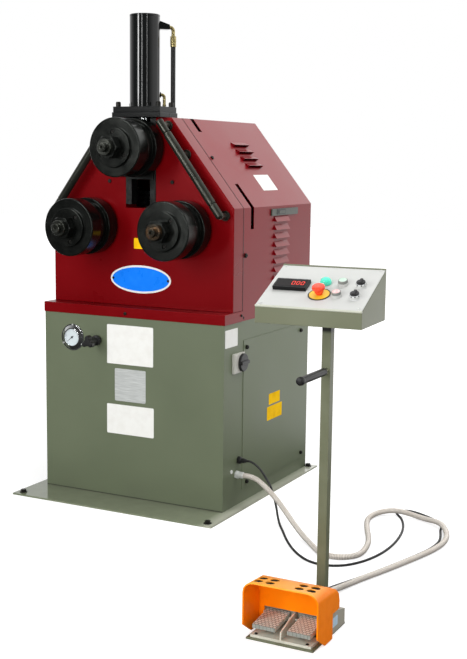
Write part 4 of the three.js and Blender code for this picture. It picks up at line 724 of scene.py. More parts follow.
def lathed_steel(name, centre, colour, worn):
    """Blackened steel with turning marks in rings about the shaft's axis."""
    made = Finish(name, metallic=0.85)
    across, upward = made.along("X") - centre[0], made.along("Z") - centre[2]
    reach = (across * across + upward * upward) ** 0.5
    rings = made.noise(1, 2, at=made.node("ShaderNodeCombineXYZ", {
        "X": reach * TURNING_MARKS, "Y": made.along("Y") * TURNING_MARKS, "Z": 0.0}))
    oil = made.noise(0.035, 4)
    made.set("Base Color", made.blend(colour, worn, (rings * 0.45 + oil * 0.6).range(0.45, 0.8)))
    made.set("Roughness", oil * 0.14 + rings * 0.06 + 0.12)
    return made.bump(rings, 0.00002)


def spoke(degrees, reach):
    """The step from an axis along Y to a place beside it, counted from the right upward."""
    return reach * Vector((math.cos(math.radians(degrees)), 0, math.sin(math.radians(degrees))))


ROLL_PROFILE = [
    (0.0303, -0.185), (0.068, -0.185), (0.068, -0.1735), (0.0995, -0.1735), (0.102, -0.171), (0.102, -0.119),
    (0.100, -0.117), (0.088, -0.117), (0.088, -0.0915), (0.0862, -0.0905), (0.088, -0.0895), (0.088, -0.064),
    (0.100, -0.064), (0.102, -0.062), (0.102, -0.0145), (0.0995, -0.012), (0.0303, -0.012), (0.0303, -0.185)]
ROLL_FRONT, SCREW_CIRCLE, SINK_RADIUS, SINK_DEPTH = -0.185, 0.052, 0.008, 0.007


def shaft_profile(shoulder_back, rear):
    """Half a shaft's outline, from its centred front end to its rear end."""
    return [
        (0, -0.244), (0.0022, -0.246), (0.0022, -0.2485), (0.0052, -0.254), (0.0145, -0.254),
        (0.016, -0.2525), (0.016, -0.238), (0.0265, -0.238), (0.028, -0.2365), (0.028, -0.185),
        (0.030, -0.185), (0.030, -0.0117), (0.042, -0.0117), (0.042, shoulder_back),
        (0.030, shoulder_back), (0.030, rear), (0, rear)]


roll_places = {
    "top": ((0, PLATE_FACE, TOP_HEIGHT), 90, (-0.0075, 0.154), "#6a6c66"),
    "left": ((-ROLL_SPREAD, PLATE_FACE, LOWER_HEIGHT), 45, (-0.0055, 0.269), "#6a6c66"),
    "right": ((ROLL_SPREAD, PLATE_FACE, LOWER_HEIGHT), 45, (-0.0055, 0.269), "#95693f")}
for roll_name, (roll_centre, phase, shaft_ends, end_tint) in roll_places.items():
    roll_body = f"{roll_name}_spindle"
    roll_steel = lathed_steel(f"{roll_name}_roll_steel", roll_centre, "#252725", "#383a37")
    sinks, sunk_screws = bmesh.new(), bmesh.new()
    for turn in (phase, phase + 120, phase + 240):
        sink = Vector(roll_centre) + spoke(turn, SCREW_CIRCLE)
        turned(sinks, [(0, ROLL_FRONT - 0.005), (SINK_RADIUS, ROLL_FRONT - 0.005),
                       (SINK_RADIUS, ROLL_FRONT + SINK_DEPTH), (0, ROLL_FRONT + SINK_DEPTH)], sink, steps=24)
        screw(sunk_screws, sink + Y_AXIS * (ROLL_FRONT + SINK_DEPTH), -Y_AXIS, 0.0065, 0.005)
    piece(f"{roll_name}_form_roll", drilled(lathed(ROLL_PROFILE, 0.002, roll_centre, steps=96), sinks),
          roll_steel, [f"{roll_name}_roll"], roll_body)
    piece(f"{roll_name}_clamp_screws", sunk_screws, bolt_finish, body=roll_body)
    piece(f"{roll_name}_spindle_bar", lathed(shaft_profile(*shaft_ends), 0.0008, roll_centre),
          lathed_steel(f"{roll_name}_shaft_steel", roll_centre, "#32342f", end_tint),
          [f"{roll_name}_shaft"], roll_body)
    piece(f"{roll_name}_hex_nut", from_cad(f"{roll_name}_lock_nut", 0.0006), roll_steel,
          [f"{roll_name}_lock_nut"], roll_body)

# Press cylinder
# A round barrel stands on a bolted flange over the seat plate. The rod below it pushes the
# slide block. The barrel and plates are painted glossy black.
gloss_black = Finish("cylinder_black")
gloss_black.tinted("#090a0a", "#151717", 0.05, 0.3, 0.8, stretch=(1, 1, 0.15))
gloss_black.rubbed(0.05, 0.07, 0.03, stretch=(1, 1, 0.15))
gloss_black.bump(gloss_black.noise(0.02, 2, stretch=(1, 1, 0.12)), 0.0001)
plate_black = paint("plate_black", "#0a0c0c", "#101212", 0.3, "#070707", 0.00004, (0.35, 0.35, 0.35, 1))
CYLINDER_AXIS, FLANGE_TOP, BARREL_TOP = Vector((0, -0.2705, 0)), 1.414, 1.733
barrel = lathed([
    (0.040, FLANGE_TOP), (0.054, FLANGE_TOP), (0.054, FLANGE_TOP + 0.004), (0.0535, FLANGE_TOP + 0.005),
    (0.0535, BARREL_TOP - 0.008), (0.054, BARREL_TOP - 0.007), (0.054, BARREL_TOP - 0.002),
    (0.052, BARREL_TOP), (0.006, BARREL_TOP), (0.006, BARREL_TOP - 0.004), (0, BARREL_TOP - 0.004)], 0.0006,
    CYLINDER_AXIS, Z_AXIS, 96)
PORT_TURN = math.radians(43)
port_out = Vector((math.cos(PORT_TURN), math.sin(PORT_TURN), 0))
port_side = Vector((-math.sin(PORT_TURN), math.cos(PORT_TURN), 0))
PORT_LOW, PORT_HIGH, PORT_SLANT, LOWER_PORT = 1.684, 1.714, 0.013, 1.458
port_block = box(
    barrel, CYLINDER_AXIS + port_out * 0.0675 + Z_AXIS * (PORT_LOW + PORT_HIGH) / 2,
    (0.039, 0.030, PORT_HIGH - PORT_LOW), (port_out, port_side, Z_AXIS))
for corner in port_block:
    if (corner.co - CYLINDER_AXIS).dot(port_out) > 0.07 and corner.co.z > PORT_HIGH - 0.001:
        corner.co.z -= PORT_SLANT
round_edges(barrel, edges_of(port_block), 0.0015, 2)
turned(barrel, [(0, 0.050), (0.010, 0.050), (0.010, 0.0568), (0, 0.0568)],
       CYLINDER_AXIS + Z_AXIS * LOWER_PORT, port_out, 24)
piece("press_barrel", barrel, gloss_black, ["cylinder_barrel"])
piece("press_seat", from_cad("cylinder_seat", 0.0015), plate_black, ["cylinder_seat"])

FLANGE_HALF, FLANGE_FRONT, FLANGE_BACK, FLANGE_LOW = 0.096, -0.330, -0.213, 1.394
press_flange = bmesh.new()
flange_block = box(press_flange, (0, (FLANGE_FRONT + FLANGE_BACK) / 2, (FLANGE_LOW + FLANGE_TOP) / 2),
                   (2 * FLANGE_HALF, FLANGE_BACK - FLANGE_FRONT, FLANGE_TOP - FLANGE_LOW))
round_edges(press_flange, edges_of(flange_block), 0.0015, 2)
piece("press_flange", press_flange, plate_black, ["cylinder_flange"])
screws("flange_screws", bolt_finish, [
    (screw_x, screw_y, FLANGE_TOP) for screw_x in (-0.082, 0.082) for screw_y in (-0.316, -0.227)],
    Z_AXIS, 0.009, 0.017)
seat_socket = turned(
    bmesh.new(), [(0, 0), (0.006, 0), (0.006, 0.0006), (0, 0.0006)], (0.099, -0.262, 1.385), X_AXIS, 24)
piece("seat_socket", seat_socket, black_plastic)
rod_chrome = Finish("rod_chrome", "#b5b8b8", metallic=1.0).rubbed(0.01, 0.1, 0.07)
piece("press_rod", lathed([
    (0, 1.350), (0.025, 1.350), (0.025, 1.650), (0.0396, 1.650), (0.0396, 1.690), (0, 1.690)], 0.001,
    CYLINDER_AXIS, Z_AXIS), rod_chrome, ["piston_rod"], "press_slide")

# Pressure hose and fittings
# A rubber hose drops from a swivel elbow at the barrel's top port, through the housing, to
# the power unit. A thinner elbow joins the lower port. Both fittings are brass.
brass_finish = Finish("fitting_brass", metallic=0.8).tinted("#b9ab78", "#84774a", 0.008, 0.35, 0.75)
brass_finish.rubbed(0.008, 0.3, 0.15)
HOSE_OFFSET, HOSE_RADIUS, HOSE_LOW, HOSE_TOP = 0.102, 0.0085, 0.5603, 1.6252
hose_place = CYLINDER_AXIS + port_out * HOSE_OFFSET
hose_finish = Finish("hose_rubber")
hose_finish.tinted("#121212", "#2a2a2a", 0.004, 0.4, 0.8, stretch=(1, 1, 0.4))
hose_finish.bump(hose_finish.noise(0.004, stretch=(1, 1, 0.4)), 0.0003)
piece("oil_hose", lathed([
    (0, HOSE_LOW), (HOSE_RADIUS, HOSE_LOW), (HOSE_RADIUS, HOSE_TOP), (0, HOSE_TOP)], 0.001,
    hose_place, Z_AXIS, 32), hose_finish, ["pressure_hose"])
ELBOW_HEIGHT, ELBOW_BEND, FERRULE_TOP, FERRULE_LOW = 1.6925, 0.0125, 1.6625, 1.6255


def elbow_line(root, bend_from, bend_radius, height, foot):
    """Runs outward from the axis at this height, then bends down to the foot's height."""
    line = [CYLINDER_AXIS + port_out * root + Z_AXIS * height]
    for degrees in range(0, 91, 15):
        bend = math.radians(degrees)
        line.append(CYLINDER_AXIS + port_out * (bend_from + bend_radius * math.sin(bend))
                    + Z_AXIS * (height - bend_radius * (1 - math.cos(bend))))
    return line + [CYLINDER_AXIS + port_out * (bend_from + bend_radius) + Z_AXIS * foot]


elbow = bmesh.new()
tube_along(elbow, elbow_line(
    0.0873, HOSE_OFFSET - ELBOW_BEND, ELBOW_BEND, ELBOW_HEIGHT, FERRULE_TOP), 0.0065, 20)
FERRULE_RIBS = [
    (0, 0), (0.0105, 0), (0.0108, 0.006), (0.0098, 0.007), (0.0108, 0.008), (0.0108, 0.016),
    (0.0098, 0.017), (0.0108, 0.018), (0.0108, 0.028), (0.009, 0.029), (0.009, 0.031), (0, 0.031)]
turned(elbow, eased(FERRULE_RIBS, 0.0004), hose_place + Z_AXIS * FERRULE_LOW, Z_AXIS, 32)
hexagon(elbow, hose_place + Z_AXIS * (FERRULE_TOP - 0.010), Z_AXIS, 0.0185, 0.010)
piece("swivel_elbow", elbow, brass_finish, ["upper_elbow"])

LOWER_LEAD, LOWER_BEND = 0.0603, 0.010
small_elbow = bmesh.new()
tube_along(small_elbow, elbow_line(0.0573, LOWER_LEAD, LOWER_BEND, LOWER_PORT, 1.4144), 0.0055, 16)
small_nut = CYLINDER_AXIS + port_out * (LOWER_LEAD + LOWER_BEND) + Z_AXIS * 1.4148
hexagon(small_elbow, small_nut, Z_AXIS, 0.0115, 0.009, 0.0004)
piece("return_elbow", small_elbow, brass_finish, ["lower_elbow"])

# Housing
# A folded sheet cover in the same red closes the gearing from above and both sides, with
# slots, pressed louvres and a grey bar on its right side. A dark red strip along its front edge is painted
# shadow.
# A flat sheet closes its back.
dress(paint("cover_enamel", "#6e050e", "#750812", 0.32, "#2c0606", 0.00003, RED_GLEAM),
      "housing_cover", "housing_rear_panel")
SIDE_X, CREASE_Z, TOP_HALF, ROOF_Z = 0.375, 1.066, 0.1255, 1.376
slope_down = Vector((SIDE_X - TOP_HALF, 0, CREASE_Z - ROOF_Z)).normalized()
slope_out = Vector((-slope_down.z, 0, slope_down.x))
slope_top = Vector((TOP_HALF, 0, ROOF_Z))
cover_screws = bmesh.new()
screw(cover_screws, slope_top + slope_down * 0.177 + Y_AXIS * -0.205, slope_out, 0.007, 0.005)
screw(cover_screws, (SIDE_X, -0.210, 0.900), X_AXIS, 0.008, 0.007)
screw(cover_screws, (0.378, -0.24, 0.690), X_AXIS, 0.005, 0.003)
screw(cover_screws, (SIDE_X, -0.22, 0.680), X_AXIS, 0.005, 0.003)
piece("cover_screws", cover_screws, bolt_finish)

# A thin dark red strip along the cover's front edges is painted shadow in the gap to the front plate.
GAP_SHADE_BACK, GAP_SHADE_FRONT, GAP_SHADE_PROUD = -0.2235, -0.2275, 0.0006
gap_shade = bmesh.new()
gap_shade_line = [Vector((SIDE_X, 0, 0.708)), Vector((SIDE_X, 0, CREASE_Z)), Vector((TOP_HALF, 0, ROOF_Z))]
for side in (-1, 1):
    for low, high in zip(gap_shade_line, gap_shade_line[1:]):
        along = high - low
        out = Vector((along.z, 0, -along.x)).normalized()
        middle = (low + high) / 2
        mirrored = Vector((side, 1, 1))
        label(gap_shade, middle * mirrored + Y_AXIS * (GAP_SHADE_BACK + GAP_SHADE_FRONT) / 2, Y_AXIS,
              (out * mirrored).cross(Y_AXIS), GAP_SHADE_BACK - GAP_SHADE_FRONT, along.length, GAP_SHADE_PROUD, 0.0002)
bmesh.ops.recalc_face_normals(gap_shade, faces=gap_shade.faces)
piece("cover_seal", gap_shade, moulded("seal_dark_red", "#3a060a", "#2a0507"))

BAR_Y, BAR_Z, BAR_LENGTH, BAR_HEIGHT = 0.112, 1.0435, 0.230, 0.025
bar_finish = moulded("bar_grey", "#3f423b", "#55584f", 0.4)
plates("grey_bar", bar_finish, "black_plastic",
       ((SIDE_X, BAR_Y, BAR_Z), Y_AXIS, Z_AXIS, BAR_LENGTH, BAR_HEIGHT, 0.006, 0.003))
plates("bar_frame", black_plastic, "black_plastic",
       ((SIDE_X + 0.006, BAR_Y - 0.038, BAR_Z + 0.001), Y_AXIS, Z_AXIS, 0.074, 0.019, 0.0015, 0.002))
plates("bar_slide", bar_finish, "black_plastic",
       ((SIDE_X + 0.0075, BAR_Y - 0.034, BAR_Z), Y_AXIS, Z_AXIS, 0.052, 0.011, 0.0015, 0.001))
plates("slope_label", label_finish, "panel_white",
       (slope_top + slope_down * 0.291 + Y_AXIS * 0.089, Y_AXIS, -slope_down, 0.124, 0.072,
        LABEL_THICKNESS, 0.003))

# Guide bars
# A dark oiled steel bar beside each slope, held off the front plate by three studs, with a
# sleeve at each end. Turned from round stock.
bar_steel = Finish("bar_steel", metallic=0.7).tinted("#34352f", "#42433c", 0.06, 0.35, 0.7)
bar_steel.rubbed(0.06, 0.06, 0.25)
BAR_STAND_OFF, BAR_TOP, BAR_FOOT = 0.044, (0.100, 1.365), (0.346, 1.036)
for side_name, side in (("left", -1), ("right", 1)):
    bar_start = Vector((side * BAR_TOP[0], PLATE_FACE - BAR_STAND_OFF, BAR_TOP[1]))
    bar_end = Vector((side * BAR_FOOT[0], bar_start.y, BAR_FOOT[1]))
    bar_length = (bar_end - bar_start).length
    guide_bar = lathed([
        (0, 0), (0.011, 0), (0.0135, 0.003), (0.0135, 0.0525), (0.0105, 0.053), (0.0105, 0.057),
        (0.0150, 0.0575), (0.0150, bar_length - 0.057), (0.0105, bar_length - 0.0565),
        (0.0105, bar_length - 0.0525), (0.0145, bar_length - 0.052), (0.0145, bar_length - 0.004),
        (0.010, bar_length), (0, bar_length)], 0.0004, bar_start, (bar_end - bar_start).normalized(), 48)
    for share in (0.055, 0.357, 0.985):
        stud = bar_start.lerp(bar_end, share)
        turned(guide_bar, [(0, 0), (0.0112, 0), (0.0112, BAR_STAND_OFF), (0, BAR_STAND_OFF)], stud, steps=32)
        turned(guide_bar, eased([
            (0.0108, 0), (0.018, 0), (0.018, -0.007), (0.0108, -0.007), (0.0108, 0)], 0.0008),
            stud + Y_AXIS * (BAR_STAND_OFF - 0.0003), steps=32)
    piece(f"{side_name}_guide_rail", guide_bar, bar_steel, [f"guide_bar_{side_name}"])

# Pressure gauge
# A chromed case behind a round screwed flange, a white dial with plain divisions, and a
# black needle. The dial is left without glass.
chrome_finish = Finish("gauge_chrome", "#d5d7d8", metallic=1.0).rubbed(0.01, 0.1, 0.06)
GAUGE, DIAL_FACE, DIAL_RADIUS = Vector((-0.252, CABINET_FRONT, 0.580)), -0.0071, 0.0308
MARKS, MARK_STEP, MARK_FROM, MARKS_PER_LONG = 27, 10, 220, 5
piece("gauge_body", lathed([
    (0, -0.007), (0.031, -0.007), (0.031, -0.0105), (0.034, -0.0105), (0.045, -0.0025), (0.049, -0.0025),
    (0.049, 0), (0.030, 0), (0.030, 0.033), (0, 0.033)], 0.0006, GAUGE), chrome_finish,
    ["gauge_case"])
piece("gauge_dial", turned(bmesh.new(), [
    (0, DIAL_FACE), (DIAL_RADIUS, DIAL_FACE), (DIAL_RADIUS, -0.0070), (0, -0.0070)], GAUGE),
    moulded("dial_white", "#c9d3d6", "#bcc6c9", 0.35))
gauge_marks = bmesh.new()
for division in range(MARKS):
    mark_out = spoke(MARK_FROM - division * MARK_STEP, 1)
    mark_long, mark_wide = (0.003, 0.0008) if division % MARKS_PER_LONG else (0.005, 0.0012)
    label(gauge_marks, GAUGE + mark_out * (0.028 - mark_long / 2) + Y_AXIS * DIAL_FACE,
          mark_out.cross(Y_AXIS), mark_out, mark_wide, mark_long, 0.0001, 0.00001)
ink_finish = moulded("dial_ink", "#23272a", "#2f3538")
piece("gauge_marks", gauge_marks, ink_finish)
screws("gauge_screws", zinc_finish, [
    GAUGE + spoke(turn, 0.0468) - Y_AXIS * 0.0025 for turn in (90, 210, 330)], -Y_AXIS, 0.0028, 0.0018)
piece("gauge_pointer", from_cad("gauge_needle", 0.0002), ink_finish, ["gauge_needle"],
      "needle")

# Valve knob
# The flow valve's stem comes through the cabinet's front, with a rounded collar and a black
# three-lobed head. Both are moulded plastic.
VALVE, LOBES, LOBE_REACH = Vector((-0.142, CABINET_FRONT, 0.578)), 3, 0.015
valve_mesh = lathed([
    (0, -0.075), (0.012, -0.075), (0.012, -0.022), (0.017, -0.021), (0.019, -0.019), (0.019, -0.009),
    (0.017, -0.006), (0.012, -0.006), (0.012, 0.0428), (0, 0.0428)], 0.0008, VALVE, steps=48)
turned(valve_mesh, eased([
    (0, -0.0745), (0.012, -0.0745), (0.014, -0.072), (0.014, -0.052), (0.0125, -0.050), (0, -0.050)],
    0.001), VALVE, steps=48)
for lobe in range(LOBES):
    turned(valve_mesh, eased([
        (0, -0.0748), (0.008, -0.0748), (0.0098, -0.072), (0.0098, -0.054), (0.008, -0.0515),
        (0, -0.0515)], 0.0012), VALVE + spoke(360 * lobe / LOBES + 90, LOBE_REACH), steps=32)
piece("valve_handle", valve_mesh, black_plastic, ["valve_knob"], "valve")

# Pedestal
# A square pole welded to a foot plate carries the console. Its top end is painted dark as painted
# shade under the console. It has a hand grip in front and the conduit's socket low at its back.
pole_finish = enamel("pedestal_paint", 0.4)
# The pole's top end under the console turns near black: painted shade where the console shades it.
pole_finish.turning(
    ("#63674f", "#6c7059", 0.05, 0.4, 0.8), "#14150f", pole_finish.along("Z").range(0.772, 0.782))
piece("stand_pole", from_cad("pedestal", 0.0015), pole_finish, ["pedestal"])
GRIP_ROOT = Vector((1.009, -0.988, 0.670))
grip_nut = bmesh.new()
hexagon(grip_nut, GRIP_ROOT - Y_AXIS * 0.0092, Y_AXIS, 0.0175, 0.009)
piece("grip_nut", grip_nut, moulded("nut_cream", "#b9b59a", "#a7a388", 0.4))
piece("hand_grip", lathed([
    (0, -0.0453), (0.0053, -0.0453), (0.0053, -0.0093), (0.0088, -0.0093), (0.0105, -0.014),
    (0.0105, -0.100), (0.0098, -0.152), (0.0096, -0.1565), (0.0113, -0.1605), (0.012, -0.167),
    (0.0113, -0.1725), (0.0092, -0.1765), (0.005, -0.1785), (0, -0.179)], 0.0006, GRIP_ROOT, steps=48),
    black_plastic, ["handle_grip"])

# Console
# A wedge-shaped box folded from sheet, painted much as the cabinet, turned a little on the
# pole. Its sloping panel is white with a screw near each corner and a rolled front edge painted pale as a
# painted highlight.
desk_paint = paint("desk_paint", "#63674f", "#6c7059", 0.4, "#4a4a3c")
piece("desk_box", from_cad("console_box", 0.0012), desk_paint, ["console_box"])
panel_finish = paint("panel_enamel", "#c3c4c1", "#bdbebb", 0.4, "#adada6")
piece("desk_panel", from_cad("console_panel", 0.0006), panel_finish, ["console_panel"])
DESK_TURN, DESK_TILT = math.radians(3.2), math.atan2(0.092, 0.210)
desk_matrix = (Matrix.Translation((0.990, -0.986, 0.8043)) @ Matrix.Rotation(DESK_TURN, 4, "Z")
               @ Matrix.Translation((-0.149, -0.105, 0.046)) @ Matrix.Rotation(DESK_TILT, 4, "X"))
desk_right = (desk_matrix.to_3x3() @ X_AXIS).normalized()
desk_up = (desk_matrix.to_3x3() @ Y_AXIS).normalized()
desk_out = (desk_matrix.to_3x3() @ Z_AXIS).normalized()
desk_axes = (desk_right, desk_up, desk_out)
PANEL_FACE, PANEL_WIDTH = 0.0023, 0.298


def on_panel(u, v, height=PANEL_FACE):
    """A place on the panel: u to the right, v up the slope, in metres."""
    return desk_matrix @ Vector((u, v, height))


screws("corner_screws", zinc_finish, [
    on_panel(screw_u, screw_v) for screw_u in (0.011, 0.287) for screw_v in (0.011, 0.218)],
    desk_out, 0.0035, 0.002)

desk_lips = bmesh.new()
box(desk_lips, on_panel(PANEL_WIDTH / 2, 0.2262, 0.002), (PANEL_WIDTH, 0.0056, 0.0040), desk_axes)
piece("desk_lips", desk_lips, desk_paint)
# The rolled front edge is painted pale: a painted highlight along it.
rolled_edge = lathed([(0, 0), (0.0032, 0), (0.0032, PANEL_WIDTH), (0, PANEL_WIDTH)], 0.0008,
                     on_panel(0, 0.0012, 0.0002), desk_right, 24)
piece("desk_rolled_edge", rolled_edge, paint("rolled_edge_paint", "#b3b5a6", "#c0c2b4", 0.3))

# Panel meter
# A black digital meter in a rectangular moulded bezel, with a dark window and red figures.
# It is pushed into the panel from in front.
meter_body = from_cad("panel_meter", 0.0012)
METER_U, METER_V, METER_FACE, METER_LIFT = 0.0675, 0.108, 0.0136, 0.0040
BEZEL_FROM = 0.0080
for corner in meter_body.verts:
    if (desk_matrix.inverted() @ corner.co).z > BEZEL_FROM:
        corner.co += desk_out * METER_LIFT
meter_black = moulded("meter_black", "#0f0f10", "#1a1a1b", 0.4, (0.35, 0.35, 0.35, 1))
piece("digital_meter", meter_body, meter_black, ["panel_meter"])
window_finish = Finish("meter_window", roughness=0.2, specular_ior_level=0.15)
window_finish.set("Base Color", window_finish.blend("#0a0808", "#171111", window_finish.noise(0.02)))
plates("meter_window", window_finish, "black_plastic",
       (on_panel(METER_U, METER_V, METER_FACE), desk_right, desk_up, 0.084, 0.036, 0.0003, 0.001))
figure_finish = Finish("meter_figures", "#ff2a1a", 0.4, emission_strength=0.9)
figure_finish.set("Emission Color", figure_finish.blend("#ff2a1a", "#ff5a3a", figure_finish.noise(0.002)))
figures = bmesh.new()
LEVEL_STROKE, UPRIGHT_STROKE = (0.006, 0.0014), (0.0014, 0.0065)
for figure_u in (0.074, 0.087, 0.100):
    for du, dv, stroke in (
            (0, 0.0085, LEVEL_STROKE), (0, -0.0085, LEVEL_STROKE),
            (-0.0038, 0.0043, UPRIGHT_STROKE), (0.0038, 0.0043, UPRIGHT_STROKE),
            (-0.0038, -0.0043, UPRIGHT_STROKE), (0.0038, -0.0043, UPRIGHT_STROKE)):
        label(figures, on_panel(figure_u + du, METER_V + dv, METER_FACE + 0.0003), desk_right, desk_up,
              *stroke, 0.0001, 0.0001)
piece("meter_figures", figures, figure_finish)

# Panel fittings
# A turquoise pilot lamp, two illuminated push buttons, two selector switches in plated rings
# with dark strips of painted shade as flute gaps, and a red emergency stop on a yellow ring with a black
# edge.


def fitting(profile, ease, u, v, steps=48):
    """A round fitting on the panel, with its heights counted from the panel's underside."""
    return lathed(profile, ease, on_panel(u, v, 0), desk_out, steps)


lamp_finish = Finish("lamp_lens", roughness=0.12, coat_weight=0.8, coat_roughness=0.05)
lamp_finish.set("Base Color", lamp_finish.blend("#2bd0ae", "#5ff0cf", lamp_finish.noise(0.004, 2)))
piece("pilot_lens", fitting([
    (0, -0.0174), (0.011, -0.0174), (0.011, 0.0026), (0.0158, 0.0026), (0.0158, 0.0100),
    (0.0148, 0.0112), (0.0140, 0.0145), (0.0115, 0.0172), (0.007, 0.0190), (0, 0.0196)], 0.0006,
    0.1566, 0.1335), lamp_finish, ["pilot_lamp"])

grey_body = moulded("button_grey", "#7c7e7a", "#6c6e6a", 0.3)
ring_chrome = Finish("ring_plate", "#e2e4e4", metallic=0.25).rubbed(0.004, 0.15, 0.1)
for button_name, u, v, top_colour in (
        ("white", 0.206, 0.132, "#b9d6c3"), ("red", 0.207, 0.0695, "#e3b4b2")):
    button_body = f"{button_name}_push"
    piece(f"{button_name}_push_button", fitting([
        (0, -0.012), (0.011, -0.012), (0.011, 0.0064), (0.0128, 0.0065), (0.0132, 0.0072),
        (0.0132, 0.0165), (0.0120, 0.0178), (0, 0.0178)], 0.0008, u, v), grey_body,
        [f"{button_name}_button"], button_body)
    # The whitish clouds on each cap are painted highlight.
    cap_finish = Finish(f"{button_name}_cap", roughness=0.25, coat_weight=0.5)
    cap = turned(bmesh.new(), [(0, 0.0177), (0.0110, 0.0177), (0.0107, 0.01800), (0, 0.01815)],
                 on_panel(u, v, 0), desk_out, 40)
    piece(f"{button_name}_button_cap", cap, cap_finish.tinted(top_colour, "#e2e4de", 0.006, 0.45, 0.9),
          body=button_body)
SELECTORS = {"upper": (0.258, 0.127), "lower": (0.259, 0.066)}
for selector_name, (u, v) in SELECTORS.items():
    knob = fitting([
        (0, -0.012), (0.0108, -0.012), (0.0108, 0.0144), (0.0124, 0.0145), (0.0124, 0.0178),
        (0.0112, 0.0190), (0, 0.0190)], 0.0006, u, v, 40)
    round_edges(knob, edges_of(box(knob, on_panel(u, v, 0.0196), (0.008, 0.0245, 0.0056), desk_axes)),
                0.0016, 3)
    piece(f"{selector_name}_knob", knob, black_plastic, [f"{selector_name}_selector"],
          f"{selector_name}_switch")
# The black strips on the selector rings are painted shade in the gaps between flutes.
FLUTE_STEP, FLUTE_FROM = 45, 20
rings, flute_shades = bmesh.new(), bmesh.new()
for u, v in SELECTORS.values():
    turned(rings, eased([
        (0.0112, PANEL_FACE), (0.0150, PANEL_FACE), (0.0148, 0.0040), (0.0138, 0.0044), (0.0138, 0.0140),
        (0.0112, 0.0140), (0.0112, PANEL_FACE)], 0.0004), on_panel(u, v, 0), desk_out, 40)
    for turn in range(FLUTE_FROM, FLUTE_FROM + 360, FLUTE_STEP):
        flute_out = desk_right * math.cos(math.radians(turn)) + desk_up * math.sin(math.radians(turn))
        box(flute_shades, on_panel(u, v, 0.0094) + flute_out * 0.0131, (0.0020, 0.0030, 0.0086),
            (flute_out, flute_out.cross(desk_out), desk_out))
piece("fitting_rings", rings, ring_chrome)
piece("fitting_flutes", flute_shades, black_plastic)

STOP_U, STOP_V, STOP_HOLE, STOP_EDGE_TOP, STOP_RING_TOP = 0.1577, 0.0728, 0.0086, 0.0037, 0.0042
piece("stop_ring_edge", fitting([
    (STOP_HOLE, PANEL_FACE), (0.0314, PANEL_FACE), (0.0314, STOP_EDGE_TOP), (STOP_HOLE, STOP_EDGE_TOP),
    (STOP_HOLE, PANEL_FACE)], 0.0003, STOP_U, STOP_V, 64), black_plastic)
piece("stop_ring", fitting([
    (STOP_HOLE, STOP_EDGE_TOP), (0.0276, STOP_EDGE_TOP), (0.0276, STOP_RING_TOP),
    (STOP_HOLE, STOP_RING_TOP), (STOP_HOLE, STOP_EDGE_TOP)], 0.0002, STOP_U, STOP_V, 64),
    moulded("stop_yellow", "#e8bd2e", "#d9ac22", 0.35))
stop_red = Finish("stop_red", roughness=0.25, coat_weight=0.5, coat_roughness=0.1)
piece("stop_button", fitting([
    (0, -0.024), (0.008, -0.024), (0.008, 0.0095), (0.0122, 0.0096), (0.0132, 0.0193), (0.0170, 0.0198),
    (0.0178, 0.0215), (0.0178, 0.026), (0.0165, 0.0293), (0.012, 0.031), (0, 0.0313)], 0.0008,
    STOP_U, STOP_V, 64), stop_red.tinted("#ee3819", "#fa5a34", 0.008, 0.4, 0.8),
    ["estop_head"], "emergency_stop")

# Foot pedal
# A cast aluminium base with two ribbed treads on a common axis, a switch housing behind
# them and an orange moulded guard over them. Dark discs just under its holes are painted shade.


def cast(name):
    """Sand-cast aluminium, tumbled and slightly soiled, still without colour and relief."""
    return Finish(name, metallic=0.06).rubbed(0.03, 0.25, 0.38, 4)


pedal_alloy = cast("pedal_alloy")
pedal_alloy.bump(pedal_alloy.noise(0.0018), 0.00015)
pedal_alloy.turning(("#d3d1c2", "#bab8a9", 0.03, 0.4, 0.75, 4), "#a6a294",
                    pedal_alloy.along("Y").range(-1.180, -1.165))
piece("pedal_base", from_cad("pedal_body", 0.0015), pedal_alloy, ["pedal_body"])
RIB_LENGTH, RIB_WIDTH, RIB_GAP = 0.0105, 0.0088, 0.0011
tread_alloy = cast("tread_alloy")
tread_grip = tread_alloy.node("ShaderNodeTexBrick", {
    "Vector": tread_alloy.place((1, 1, 0)), "Scale": 1.0, "Brick Width": RIB_LENGTH,
    "Row Height": RIB_WIDTH, "Mortar Size": RIB_GAP, "Mortar Smooth": 0.4, "Bias": 0.0}, output="Fac")
# The grooves between the ribs are painted dark: painted shade in the grooves.
tread_alloy.turning(("#d3d8cf", "#c2c7be", 0.02, 0.4, 0.75, 4), "#585850", tread_grip * 0.85)
tread_alloy.bump(1 - tread_grip, 0.0012)
for side_name in ("left", "right"):
    piece(f"{side_name}_tread", from_cad(f"{side_name}_pedal", 0.0015), tread_alloy,
          [f"{side_name}_pedal"], f"pedal_{side_name}")
BASE_FACE = 0.012
pedal_screws = bmesh.new()
for screw_x in (0.9445, 1.0895):
    for screw_y in (-1.2640, -1.2070):
        screw(pedal_screws, (screw_x, screw_y, BASE_FACE), Z_AXIS, 0.0042, 0.003)
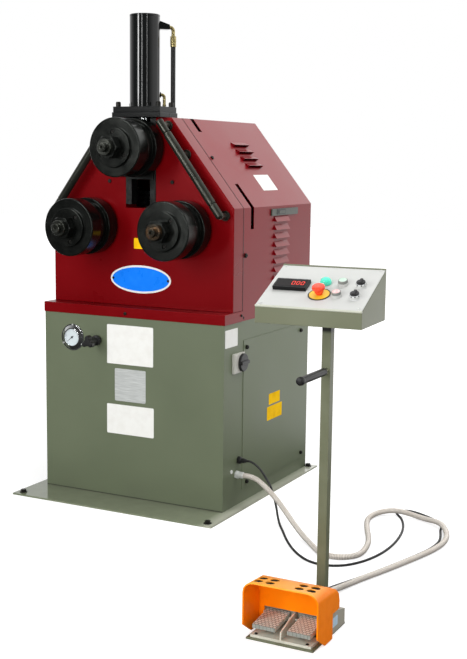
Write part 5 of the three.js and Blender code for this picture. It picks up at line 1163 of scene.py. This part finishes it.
for stop_x in (0.963, 0.977, 1.0585, 1.0725):
    turned(pedal_screws, eased([(0, 0), (0.0045, 0), (0.0045, 0.008), (0.0035, 0.010), (0, 0.010)], 0.0006),
           (stop_x, -1.231, BASE_FACE), Z_AXIS, 20)
piece("pedal_screws", pedal_screws, bolt_finish)
guard_finish = grained("guard_orange", 0.36, 0.0015, (1, 0.55, 0.08, 1))
# The guard's top turns lighter and yellower: a painted highlight.
guard_finish.turning(("#fe8406", "#f47a04", 0.03, 0.5, 0.85), "#ffb244",
                     guard_finish.along("Z").range(0.140, 0.153) * 0.85)
GUARD_X, GUARD_FRONT, GUARD_DEPTH, GUARD_FALL = 1.018, -1.280, 0.095, 0.008
FALL_FROM, FALL_RISE = 0.095, 0.050
VENT_RADIUS, VENT_TOP = 0.0125, 0.1518


def ramp(value, low, span):
    """0 at low, 1 a span above it, held between them."""
    return min(max((value - low) / span, 0), 1)


guard_shell, guard_vents, vent_cutters = from_cad("pedal_guard", 0.0012), bmesh.new(), bmesh.new()
for corner in guard_shell.verts:
    corner.co.z -= GUARD_FALL * ramp(corner.co.y, GUARD_FRONT, GUARD_DEPTH) * ramp(
        corner.co.z, FALL_FROM, FALL_RISE)
for vent_out in (-0.074, -0.041, 0.041, 0.074):
    for vent_y in (-1.252, -1.222):
        vent_fall = GUARD_FALL * (vent_y - GUARD_FRONT) / GUARD_DEPTH
        vent_at = (GUARD_X + vent_out, vent_y, VENT_TOP - vent_fall)
        for vent_bm, vent_reach, low, high in (
                (vent_cutters, VENT_RADIUS, -0.006, 0.010),
                (guard_vents, VENT_RADIUS - 0.0002, -0.0005, 0)):
            turned(vent_bm, [(0, low), (vent_reach, low), (vent_reach, high), (0, high)], vent_at,
                   Z_AXIS, 32)
piece("foot_guard", drilled(guard_shell, vent_cutters), guard_finish, ["pedal_guard"])
# Dark discs just under the guard's holes are painted shade in the holes.
piece("guard_vents", guard_vents, moulded("vent_mesh", "#16120c", "#2a2116", 0.8, (0.2, 0.2, 0.2, 1)))
plates("pedal_label", moulded("label_blue", "#b9d3e6", "#a9c3d8", 0.4), "panel_white",
       ((1.114, -1.138, 0.034), Y_AXIS, Z_AXIS, 0.034, 0.026, LABEL_THICKNESS, 0.002))
